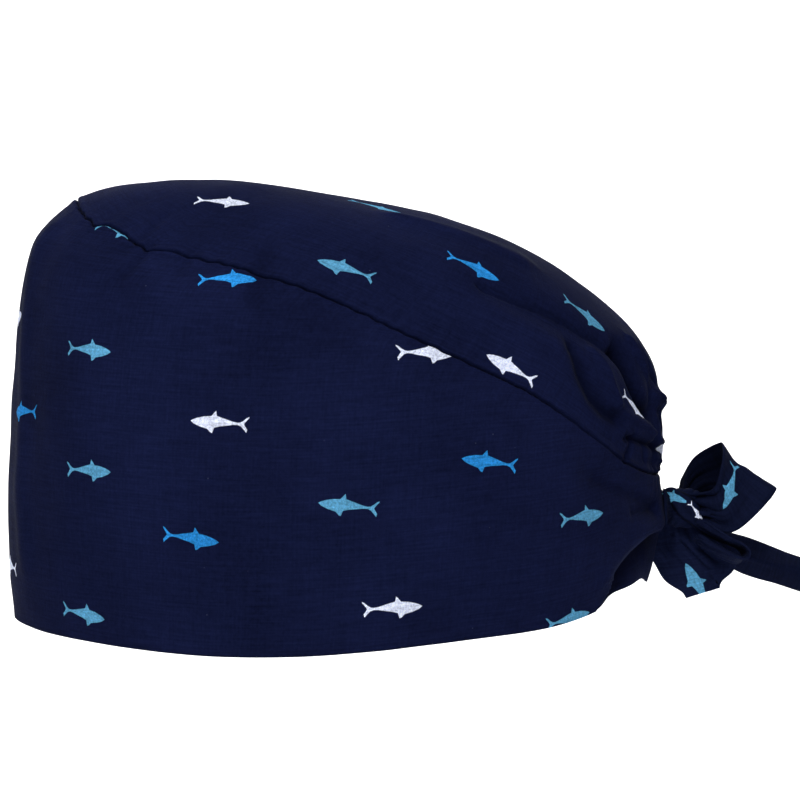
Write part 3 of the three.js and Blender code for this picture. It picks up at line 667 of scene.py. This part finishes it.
def makeCotton(name):
    look, surface = cottons[name], cottonSurface
    material = bpy.data.materials.new(name)
    material.use_nodes = True
    tree = material.node_tree
    shader = tree.nodes["Principled BSDF"]
    weave, mottle = tree.nodes.new("ShaderNodeGroup"), tree.nodes.new("ShaderNodeGroup")
    weave.node_tree, mottle.node_tree = weaveGroup, mottleGroup
    mottle.inputs["Amount"].default_value = look["mottle"]
    tone = times(tree, mottle.outputs["Factor"],
                 ramp(tree, weave.outputs["Tone"], 0.1, 1.0, *surface["weaveTone"]))
    # the painted shade map darkens the cloth in creases, the seam groove, the knot's grooves and inside
    # loops, and lightens it where negative
    paintedShading = uvMap(tree, "folds")[1][0]
    clothTone = times(tree, tone, minus(tree, 1.0, paintedShading))
    cloth = mixColours(tree, 1.0, (*look["dye"], 1.0), greyOf(tree, clothTone), "MULTIPLY")
    ink = tree.nodes.new("ShaderNodeGroup")
    ink.node_tree = printGroup
    inkTone = times(tree, tone, ramp(tree, paintedShading, 0.0, 1.0, 1.0, surface["inkInPaintedShade"]))
    inked = mixColours(tree, 1.0, ink.outputs["Colour"], greyOf(tree, inkTone), "MULTIPLY")
    cloth = mixColours(tree, ink.outputs["Mask"], cloth, inked)
    lint = times(tree, mottle.outputs["Lint"], look["lint"])
    cloth = mixColours(tree, lint, cloth, surface["lintColour"])
    tree.links.new(cloth, shader.inputs["Base Color"])
    rough = ramp(tree, weave.outputs["Height"], -0.5, 1.0, *surface["rough"])
    tree.links.new(rough, shader.inputs["Roughness"])
    shader.inputs["Sheen Weight"].default_value = look["sheen"]
    shader.inputs["Sheen Roughness"].default_value = surface["sheenRough"]
    shader.inputs["Specular IOR Level"].default_value = surface["shine"]
    fine, broad = tree.nodes.new("ShaderNodeBump"), tree.nodes.new("ShaderNodeBump")
    for node, key in ((fine, "weave"), (broad, "crumple")):
        node.inputs["Distance"].default_value = surface[key + "Depth"]
        node.inputs["Strength"].default_value = surface[key + "Bump"]
    tree.links.new(mottle.outputs["Crumple"], broad.inputs["Height"])
    tree.links.new(weave.outputs["Height"], fine.inputs["Height"])
    tree.links.new(broad.outputs[0], fine.inputs["Normal"])
    tree.links.new(fine.outputs[0], shader.inputs["Normal"])
    return material


capCotton, tieCotton = makeCotton("capCotton"), makeCotton("tieCotton")
print("cottons made")


# the band and the crown
panels = {"around": 600, "thickness": 0.0007, "nearShare": 0.10, "backShare": 0.05}
bandSteps = [(0.0, 0.12, 12, 1.0), (0.12, 0.84, 50, 1.0), (0.84, 1.0, 32, 1.9)]
crownSteps = [(1.985, 1.50, 26, 1.0), (1.50, 1.12, 38, 1.0), (1.12, 1.0, 30, 1.9)]


def panelUv(places):
    across = np.linalg.norm(np.diff(places, axis=1), axis=-1).mean(axis=0)
    upwards = np.linalg.norm(np.diff(places, axis=0), axis=-1)
    u = np.concatenate([[0], np.cumsum(across)])
    v = np.concatenate([np.zeros((1, places.shape[1])), np.cumsum(upwards, axis=0)])
    return np.stack([np.broadcast_to(u, v.shape), v], -1)


# columns lie closer together on the near side and at the back
def azimuthColumns(count, wrapped):
    share = np.linspace(0, 1, count, endpoint=not wrapped)
    return 360 * (share - panels["nearShare"] * (1 - np.cos(2 * np.pi * share)) / 2
                  - panels["backShare"] * np.sin(2 * np.pi * share) / 2)


# levels from parts of a panel, each from one level to another in so many steps, closing in on its end
def panelLevels(steps):
    levels = [steps[0][0]]
    for start, end, count, power in steps:
        share = 1 - (1 - np.arange(1, count + 1) / count) ** power
        levels += list(start + (end - start) * share)
    return np.array(levels)


def makePanel(name, levels, wrapped):
    turns = azimuthColumns(panels["around"] + (0 if wrapped else 1), wrapped)
    azimuth = np.broadcast_to(turns, (len(levels), len(turns))).copy()
    level = np.broadcast_to(levels[:, None], azimuth.shape).copy()
    if not wrapped:
        slit = capSize["slitAtHem"] + (capSize["slitAtSeam"] - capSize["slitAtHem"]) * level
        start = np.degrees(np.arcsin(slit / 2 / capSize["halfWidth"]))
        azimuth = start + azimuth / 360 * (360 - 2 * start)
    places, normals, paintedShading = capCloth(azimuth, level, wrapped)
    inner = places - normals * panels["thickness"]
    tips = ()
    if wrapped:
        top = places[-1].mean(axis=0) + np.array((0, 0, 0.00004))
        tips = [top, top - np.array((0, 0, panels["thickness"]))]
    mesh = gridMesh(name, places, inner, panelUv(places), wrapped, tips, paintedShading)
    printOnto(mesh, name, places.shape[0] * places.shape[1], places, normals)
    return mesh, places, normals


bandMesh, bandPlaces = makePanel("band", panelLevels(bandSteps), False)[:2]
crownMesh, crownPlaces, crownDirections = makePanel("crown", panelLevels(crownSteps)[::-1], True)
band = finishPiece("bandPanel", bandMesh, "band", capCotton)
crown = finishPiece("crownPanel", crownMesh, "crown", capCotton)
print("band and crown made")


bow = {
    "tieWidth": 0.025, "thickness": 0.0011, "across": 61, "along": 151, "gap": 0.0003,
    "pleatWaves": 3, "finePleatWaves": 8, "finePleatShare": 0.35,
    "rumple": 0.0004, "rumpleSize": 0.006, "dents": 0.0007, "dentSize": 0.013,
}

# the strips: reach from the knot, size before tying, painted shade inside a loop and painted shade over the
# strip, lighter where negative, and for each station right, up, out, width, angle, lean, cup, crease and
# pleat
bowStrips = {
    "loop_lower": {"reach": 0.023, "length": 0.046, "area": 0.00071, "held": "folded", "inside": 0.15,
        "stations": [
        (0.1, -0.23, 0.22, 0.28, 45, -74, 0, 0, 0.03), (0.3, -0.36, 0.32, 0.44, 45, -78, 0.01, 0, 0.025),
        (0.54, -0.5, 0.38, 0.56, 48, -80, 0.02, 0, 0.012), (0.75, -0.62, 0.4, 0.6, 50, -80, 0.03, 0, 0),
        (0.82, -0.71, 0.41, 0.6, 50, -80, 0.03, 0, 0), (0.75, -0.78, 0.4, 0.6, 50, -80, 0.03, 0, 0.004),
        (0.52, -0.71, 0.38, 0.54, 50, -80, 0.02, 0, 0.014), (0.3, -0.58, 0.32, 0.4, 48, -78, 0, 0, 0.025),
        (0.12, -0.45, 0.24, 0.26, 45, -76, 0, 0, 0.03)]},
    "loop_upper": {"reach": 0.03, "length": 0.06, "area": 0.00152, "held": "folded",
        "inside": 0.6, "shade": 0.12,
        "stations": [
        (0.04, 0.02, 0.12, 0.34, -80, 6, 0.02, 0, 0.05), (0.2, -0.01, 0.26, 0.46, -79, 6, 0.03, 0, 0.04),
        (0.38, -0.02, 0.34, 0.68, -70, 6, 0.05, 0, 0.02), (0.54, 0.19, 0.3, 0.84, -54, 3, 0.08, 0, 0.006),
        (0.67, 0.41, 0.06, 0.98, -41, 0, 0.08, 0, 0), (0.53, 0.37, -0.18, 0.96, -45, -2, 0.08, 0, 0.006),
        (0.33, 0.29, -0.3, 0.84, -47, -4, 0.06, 0, 0.02), (0.14, 0.2, -0.27, 0.54, -50, -6, 0.03, 0, 0.04),
        (0.02, 0.1, -0.16, 0.34, -50, -8, 0.01, 0, 0.05)]},
    "tail_long": {"reach": 0.049, "length": 0.049, "area": 0.00087, "held": "hung", "shade": 0.2,
        "stations": [
        (0.04, -0.08, -0.03, 0.24, 70, 0, 0, 0.1, 0.02), (0.24, -0.26, -0.13, 0.36, 70, 0, 0, 0.14, 0.012),
        (0.46, -0.37, -0.2, 0.5, 71, 0, 0.02, 0.22, 0.004), (0.7, -0.45, -0.18, 0.46, 72, 2, 0.02, 0.26, 0),
        (0.92, -0.52, -0.17, 0.46, 72, 3, 0.02, 0.28, 0)]},
    "tail_short": {"reach": 0.031, "length": 0.031, "area": 0.00075, "held": "hung", "shade": -0.25,
        "stations": [
        (-0.15, -0.16, -0.06, 0.62, 12, 0, 0, 0, 0.03), (-0.06, -0.42, -0.08, 0.98, 6, 4, 0.03, 0, 0.024),
        (0.1, -0.62, -0.08, 1.14, 4, 6, 0.06, 0, 0.016), (0.15, -0.78, -0.06, 0.98, 8, 6, 0.08, 0, 0.01),
        (0.17, -0.9, -0.04, 0.6, 14, 4, 0.05, 0, 0.006), (0.18, -0.98, -0.03, 0.49, 17, 2, 0.02, 0, 0.004)]},
}
knotMiddle = np.array(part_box("knot")).mean(axis=0)

# creases of the strips: a line of places in millimetres right and up as the camera sees them, the reach
# under and over it, and its height
bowFolds = {
    "tail_short": [
        ([(115.5, 29.4), (120.0, 25.5), (124.2, 21.7), (128.4, 17.5), (130.5, 13.3)], 1.0, 4.0, 1.1),
        ([(117.4, 26.6), (122.0, 22.6), (126.4, 18.4), (130.0, 14.4)], 0.7, 0.8, -1.3),
        ([(117.2, 27.3), (116.2, 21.0), (115.8, 15.4)], 2.0, 2.0, -0.9),
        ([(123.5, 26.6), (127.7, 21.7), (132.7, 17.5)], 1.6, 2.4, -1.0),
        ([(127.0, 25.9), (132.7, 20.3), (136.8, 15.4)], 1.6, 2.4, 0.8),
    ],
    "loop_upper": [
        ([(127.0, 33.9), (131.9, 34.3), (136.8, 34.3)], 3.0, 1.2, -1.2),
        ([(127.7, 37.8), (131.2, 38.5), (134.8, 39.5)], 1.0, 1.6, -0.9),
        ([(127.4, 35.7), (132.7, 31.5), (136.8, 29.4)], 1.4, 1.4, 0.7),
        ([(144.5, 50.4), (146.6, 45.5), (150.1, 39.9)], 2.0, 2.0, -0.7),
    ],
    "tail_long": [
        ([(141.8, 18.2), (152.2, 16.1), (161.3, 14.7)], 0.8, 2.6, 0.5),
    ],
}


def numbered(rows):
    return np.array([(k, *row) for k, row in enumerate(rows)], float)


def makeStrip(name):
    strip = bowStrips[name]
    table = numbered(strip["stations"])
    last = len(table) - 1
    station = np.linspace(0, last, bow["along"])
    right, up, out, width, angle, lean, cup, crease, pleat = (follow(table, k, station) for k in range(1, 10))

    def middle(at):
        return knotMiddle + strip["reach"] * np.stack(
            [follow(table, 1, at), -follow(table, 3, at), follow(table, 2, at)], -1)

    angle, lean = np.radians(angle), np.radians(lean)
    acrossWay = np.stack([np.cos(angle) * np.cos(lean), np.sin(lean), np.sin(angle) * np.cos(lean)], -1)
    alongWay = unit(middle(np.minimum(station + 0.1, last)) - middle(np.maximum(station - 0.1, 0)))
    face = unit(np.cross(alongWay, acrossWay))
    t = np.linspace(-1, 1, bow["across"])
    wide = bow["tieWidth"]
    soft = np.sqrt(t ** 2 + 0.01) - 0.1
    sink = (cup[:, None] * t ** 2 + crease[:, None] * soft) * wide
    wander = 0.5 * np.sin(2.1 * station)[:, None]
    ripple = pleat[:, None] * wide * np.cos(bow["pleatWaves"] * np.pi * t[None] + wander)
    finer = np.cos(bow["finePleatWaves"] * np.pi * t[None] + 3 * wander)
    ripple = ripple + pleat[:, None] * wide * bow["finePleatShare"] * finer
    across = t[None, :, None] * width[:, None, None] * wide / 2
    raised = face[:, None] * (ripple - sink)[..., None]
    places = middle(station)[:, None] + acrossWay[:, None] * across + raised
    rumple = (softNoise(places, bow["rumpleSize"], 3.3) * bow["rumple"]
              + softNoise(places, bow["dentSize"], 9.1) * bow["dents"])
    outwards = np.broadcast_to(face[:, None], places.shape)
    right, up = seenFrom("side", places)
    for points, under, over, depth in bowFolds.get(name, []):
        ends = [np.argmin(np.hypot(right - x * 0.001, up - z * 0.001) + (places[..., 1] + 0.02) * 0.3)
                for x, z in points]
        line = places.reshape(-1, 3)[ends]
        rumple += pressedBy(line, places, outwards, under * 0.001, over * 0.001, depth * 0.001)
    places = places + face[:, None] * rumple[..., None]
    half = bow["thickness"] / 2 * np.sqrt(1 - 0.85 * np.abs(t) ** 10)
    normals = unit(np.cross(np.gradient(places, axis=0), np.gradient(places, axis=1)))
    normals *= np.sign((normals * face[:, None]).sum(-1, keepdims=True))
    outer, inner = places + normals * half[None, :, None], places - normals * half[None, :, None]
    uv = np.stack(np.broadcast_arrays(t[None] * wide / 2, station[:, None] / last * strip["length"]), -1)
    # painted shade for the strip's outer face and for the inside of a loop
    shades = [strip.get("shade", 0.0), strip.get("inside", strip.get("shade", 0.0))]
    if ((places - places.mean(axis=(0, 1))) * normals).sum(-1).mean() <= 0:
        shades.reverse()
    mesh = gridMesh(name, outer, inner, uv, False, paintedShading=shades[0], paintedShadingInside=shades[1])
    shown = normals if normals[..., 1].mean() < 0 else -normals
    printOnto(mesh, name, len(mesh.vertices), places, shown)
    piece = finishPiece(name.replace("_", "") + "Strip", mesh, name, tieCotton)


for stripName in bowStrips:
    makeStrip(stripName)
print("bow strips made")

# the knot: two turns of the tie wrapped over each other, each with pleats along it
knotLook = {
    "around": 180, "rise": 130, "length": 0.0172, "depth": 0.0150, "height": 0.0162,
    "shift": (-0.0012, -0.0008, -0.0006), "slant": 0.85, "farSlant": -0.5,
    "wrapTop": 0.46, "wrapBottom": -0.34, "wrapStep": 0.24, "edge": 0.035, "pleats": 15, "pleat": 0.045,
    "groove": 0.09, "groovePaintedShade": 0.65, "pleatPaintedShade": 0.35,
}


def softStep(value, width):
    return 1 / (1 + np.exp(-np.clip(value / width, -40, 40)))


def makeKnot():
    k = knotLook
    turn, tilt = np.meshgrid(np.linspace(0, 2 * np.pi, k["around"], endpoint=False),
                             np.linspace(0.02, np.pi - 0.02, k["rise"]))
    ball = np.stack([np.sin(tilt) * np.cos(turn), np.sin(tilt) * np.sin(turn), -np.cos(tilt)], -1)
    squared = np.sign(ball) * np.abs(ball) ** 0.8
    nearSide = softStep(-ball[..., 1], 0.2)
    slant = k["slant"] * nearSide + k["farSlant"] * (1 - nearSide)
    over = (ball[..., 2] + slant * ball[..., 0] + 0.12 * np.sin(2.5 * ball[..., 0])) / np.hypot(1, slant)
    wrap = softStep(over - k["wrapBottom"], k["edge"]) * softStep(k["wrapTop"] - over, k["edge"])
    pleats = np.abs(np.sin(k["pleats"] / 2 * over + 0.8 * np.sin(2 * ball[..., 0]))) ** 0.6
    other = np.abs(np.sin(k["pleats"] / 2 * (ball[..., 2] * 0.7 - 0.9 * ball[..., 0]) + 1.1)) ** 0.6
    size = 1 + k["wrapStep"] * (wrap - 0.8) + k["pleat"] * (wrap * pleats + (1 - wrap) * 1.6 * other)
    places = (squared * size[..., None] * np.array((k["length"], k["depth"], k["height"])) / 2
              + knotMiddle + np.array(k["shift"]))
    places += softNoise(places, 0.004, 5.5)[..., None] * 0.0002 * ball
    # painted shade in the grooves between the two turns and between the pleats
    grooves = bump((over - k["wrapTop"]) / k["groove"]) + bump((over - k["wrapBottom"]) / k["groove"])
    paintedShading = k["groovePaintedShade"] * grooves + k["pleatPaintedShade"] * (1 - pleats) * wrap
    uv = np.stack([turn * k["depth"] / 2, tilt * k["height"] / 2], -1)
    count = places.shape[0] * places.shape[1]
    at = np.arange(count).reshape(places.shape[:2])
    at = np.concatenate([at, at[:, :1]], axis=1)
    faces = np.stack([at[:-1, :-1], at[:-1, 1:], at[1:, 1:], at[1:, :-1]], -1).reshape(-1, 4).tolist()
    faces.append([int(i) for i in at[0, :-1][::-1]])
    faces.append([int(i) for i in at[-1, :-1]])
    mesh = bpy.data.meshes.new("knot")
    mesh.from_pydata(places.reshape(-1, 3).tolist(), [], faces)
    layUv(mesh, "cloth", uv.reshape(-1, 2))
    layUv(mesh, "folds", np.clip(paintedShading, 0, clothDetail["darkestPaintedShade"]).ravel())
    printOnto(mesh, "knot", count, places, unit(places - knotMiddle))
    piece = finishPiece("tieKnot", mesh, "knot", tieCotton)


makeKnot()

# stations: azimuth, level, width as a share of the base's width, and lift off the band in millimetres
tieBase = {
    "width": 0.016, "along": 61, "across": 41, "pleat": 0.0007, "pleatWaves": 4, "alongStep": 0.006,
    "flat": (0.0125, 0.010), "area": 0.000125,
    "stations": [
        (8.5, 0.53, 0.80, 0.0), (6.5, 0.53, 0.72, 0.2), (4.5, 0.52, 0.58, 0.9), (3, 0.52, 0.40, 3.4)],
}


def bandAt(azimuth, level):
    flat = bandPlaces.reshape(-1, 3)
    at = [int(np.argmin(np.linalg.norm(flat - place, axis=1))) for place in smoothCap(azimuth, level)]
    return flat[at]


def makeTieBase(name, side):
    table, along = numbered(tieBase["stations"]), tieBase["along"]
    last = len(table) - 1
    station = np.linspace(0, last, along)
    azimuth, level, width, lift = (follow(table, k, station) for k in (1, 2, 3, 4))
    coarse = np.linspace(0, along - 1, 7).astype(int)
    middle = bandAt(azimuth[coarse] * side, level[coarse])
    middle = np.stack([np.interp(np.arange(along), coarse, middle[:, k]) for k in range(3)], -1)
    upwards = unit(smoothCap(azimuth * side, level + 0.1) - smoothCap(azimuth * side, level - 0.1))
    direction = outOfCap(azimuth * side, level)
    t = np.linspace(-1, 1, tieBase["across"])
    reach = (station / last)[:, None]
    waves = np.abs(np.sin(tieBase["pleatWaves"] * np.pi * t[None] + 1.5 * reach)) ** 0.7
    pleats = tieBase["pleat"] * reach * waves
    raised = pleats + bow["gap"] + lift[:, None] * 0.001 * (1 - 0.35 * t[None] ** 2)
    across = t[None, :, None] * width[:, None, None] * tieBase["width"] / 2
    places = middle[:, None] + upwards[:, None] * across + direction[:, None] * raised[..., None]
    thick = direction[:, None] * (bow["thickness"] * np.sqrt(1 - 0.9 * np.abs(t) ** 8))[None, :, None]
    right, up = t[None] * tieBase["width"] / 2, station[:, None] * tieBase["alongStep"]
    uv = np.stack(np.broadcast_arrays(right, up), -1)
    mesh = gridMesh(name, places + thick, places, uv, False)
    printOnto(mesh, name, len(mesh.vertices), places, np.broadcast_to(direction[:, None], places.shape))
    piece = finishPiece(name.replace("_", ""), mesh, name, tieCotton)


makeTieBase("tie_base_near", 1)
makeTieBase("tie_base_far", -1)
print("knot and tie bases made")

# rows of stitches, laid along lines by Geometry Nodes
stitching = {"pitch": 0.0026, "length": 0.0022, "thread": 0.00018, "lift": 0.00012,
             "colour": (0.0012, 0.0017, 0.0050)}


def makeThread():
    material = bpy.data.materials.new("stitchThread")
    material.use_nodes = True
    tree = material.node_tree
    shader = tree.nodes["Principled BSDF"]
    twist = noiseNode(tree, objectSpace(tree), 4000.0, 2.0)
    dark = tuple(0.75 * c for c in stitching["colour"])
    colour = mixColours(tree, ramp(tree, twist, 0.35, 0.65), (*dark, 1.0), (*stitching["colour"], 1.0))
    tree.links.new(colour, shader.inputs["Base Color"])
    shader.inputs["Roughness"].default_value = 0.85
    shader.inputs["Specular IOR Level"].default_value = 0.03
    bumpNode = tree.nodes.new("ShaderNodeBump")
    bumpNode.inputs["Distance"].default_value = 0.00003
    tree.links.new(twist, bumpNode.inputs["Height"])
    tree.links.new(bumpNode.outputs[0], shader.inputs["Normal"])
    return material


thread = makeThread()


def makeStitchTree():
    tree = bpy.data.node_groups.new("stitchRow", "GeometryNodeTree")
    for name, kind in (("Geometry", "NodeSocketGeometry"), ("Pitch", "NodeSocketFloat"),
                       ("Length", "NodeSocketFloat"), ("Thread", "NodeSocketFloat")):
        tree.interface.new_socket(name, in_out="INPUT", socket_type=kind)
    tree.interface.new_socket("Geometry", in_out="OUTPUT", socket_type="NodeSocketGeometry")
    new, link = tree.nodes.new, tree.links.new
    enter, leave = new("NodeGroupInput"), new("NodeGroupOutput")
    toCurve, spaced = new("GeometryNodeMeshToCurve"), new("GeometryNodeResampleCurve")
    tangent = new("GeometryNodeInputTangent")
    spaced.mode = "LENGTH"
    link(enter.outputs["Geometry"], toCurve.inputs["Mesh"])
    link(toCurve.outputs[0], spaced.inputs["Curve"])
    link(enter.outputs["Pitch"], spaced.inputs["Length"])
    aim = new("FunctionNodeAlignRotationToVector")
    aim.axis = "Z"
    link(tangent.outputs[0], aim.inputs["Vector"])
    ball = new("GeometryNodeMeshUVSphere")
    ball.inputs["Segments"].default_value, ball.inputs["Rings"].default_value = 8, 6
    ball.inputs["Radius"].default_value = 0.5
    size = new("ShaderNodeCombineXYZ")
    link(enter.outputs["Thread"], size.inputs[0])
    link(enter.outputs["Thread"], size.inputs[1])
    link(enter.outputs["Length"], size.inputs[2])
    place = new("GeometryNodeInstanceOnPoints")
    link(spaced.outputs[0], place.inputs["Points"])
    link(ball.outputs["Mesh"], place.inputs["Instance"])
    link(aim.outputs[0], place.inputs["Rotation"])
    link(size.outputs[0], place.inputs["Scale"])
    real, paint = new("GeometryNodeRealizeInstances"), new("GeometryNodeSetMaterial")
    paint.inputs["Material"].default_value = thread
    link(place.outputs[0], real.inputs[0])
    link(real.outputs[0], paint.inputs["Geometry"])
    link(paint.outputs[0], leave.inputs[0])
    return tree


stitchTree = makeStitchTree()


def stitchAlong(name, line):
    mesh = bpy.data.meshes.new(name + "Path")
    mesh.from_pydata(line.tolist(), [(k, k + 1) for k in range(len(line) - 1)], [])
    path = linked(name + "Path", mesh)
    modifier = path.modifiers.new("stitches", "NODES")
    modifier.node_group = stitchTree
    wanted = {"Pitch": stitching["pitch"], "Length": stitching["length"], "Thread": stitching["thread"] * 2}
    for item in stitchTree.interface.items_tree:
        if item.name in wanted:
            modifier[item.identifier] = wanted[item.name]
    result = bpy.data.meshes.new_from_object(path.evaluated_get(bpy.context.evaluated_depsgraph_get()))
    bpy.data.objects.remove(path)
    result.name = name
    piece = linked(name, result)
    result.polygons.foreach_set("use_smooth", [True] * len(result.polygons))
    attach(piece, "root")


seamThread = crownPlaces[0] + crownDirections[0] * stitching["lift"]
stitchAlong("seamStitches", np.concatenate([seamThread, seamThread[:1]]))
print("stitches made")


# floor, light and camera
stage = {"floor": -0.26, "backdrop": 1.3, "width": 8.0, "bend": 0.6, "colour": (0.86, 0.865, 0.875)}


def makeStage():
    far, bend = stage["backdrop"], stage["bend"]
    bends = [(far + math.sin(a) * bend, (1 - math.cos(a)) * bend) for a in np.linspace(0, math.pi / 2, 16)]
    profile = [(-5.0, 0.0)] + bends + [(far + bend, 5.0)]
    half = stage["width"] / 2
    verts = [(x, y, z + stage["floor"]) for y, z in profile for x in (-half, half)]
    faces = [(2 * k, 2 * k + 1, 2 * k + 3, 2 * k + 2) for k in range(len(profile) - 1)]
    mesh = bpy.data.meshes.new("studioSweep")
    mesh.from_pydata(verts, [], faces)
    mesh.polygons.foreach_set("use_smooth", [True] * len(mesh.polygons))
    material = bpy.data.materials.new("studioPaper")
    material.use_nodes = True
    tree = material.node_tree
    shader = tree.nodes["Principled BSDF"]
    paper = noiseNode(tree, objectSpace(tree), 3.0, 2.0)
    light = tuple(c * 1.02 for c in stage["colour"])
    shades = mixColours(tree, paper, (*stage["colour"], 1.0), (*light, 1.0))
    tree.links.new(shades, shader.inputs["Base Color"])
    shader.inputs["Roughness"].default_value = 0.9
    mesh.materials.append(material)
    linked("studioSweep", mesh)


makeStage()

# name, place, aim, size, power
lights = [
    ("overheadSoftbox", (-0.25, -0.35, 1.25), (0.0, 0.0, 0.08), 0.8, 6.0),
    ("frontSoftbox", (-0.30, -1.50, 0.95), (0.0, 0.0, 0.07), 0.7, 14.5),
    ("backFill", (0.90, -1.30, 0.60), (0.0, 0.0, 0.07), 0.7, 2.5),
    ("backdropLight", (0.0, 0.5, 1.3), (0.0, 1.9, 0.65), 1.2, 60.0),
]
for lightName, place, aim, size, power in lights:
    lamp = bpy.data.lights.new(lightName, "AREA")
    lamp.size, lamp.energy = size, power
    lampObject = linked(lightName, lamp)
    lampObject.location = place
    lampObject.rotation_euler = (Vector(aim) - Vector(place)).to_track_quat("-Z", "Y").to_euler()

air = {"colour": (0.97, 0.98, 1.0, 1.0), "strength": 0.14}
world = bpy.data.worlds.new("studioAir")
bpy.context.scene.world = world
world.use_nodes = True
world.node_tree.nodes["Background"].inputs["Color"].default_value = air["colour"]
world.node_tree.nodes["Background"].inputs["Strength"].default_value = air["strength"]

camera = bpy.data.cameras.new("sideCamera")
camera.sensor_width = photoView["sensor"]
camera.lens = photoView["sensor"] * photoView["distance"] / photoView["frameWidth"]
camera.clip_end = 50
cameraObject = linked("sideCamera", camera)
cameraObject.location = (photoView["lookX"], -photoView["distance"], photoView["lookZ"])
cameraObject.rotation_euler = (math.pi / 2, 0, 0)
bpy.context.scene.camera = cameraObject
bpy.context.scene.view_settings.view_transform = "Standard"
print("stage, lights and camera made")
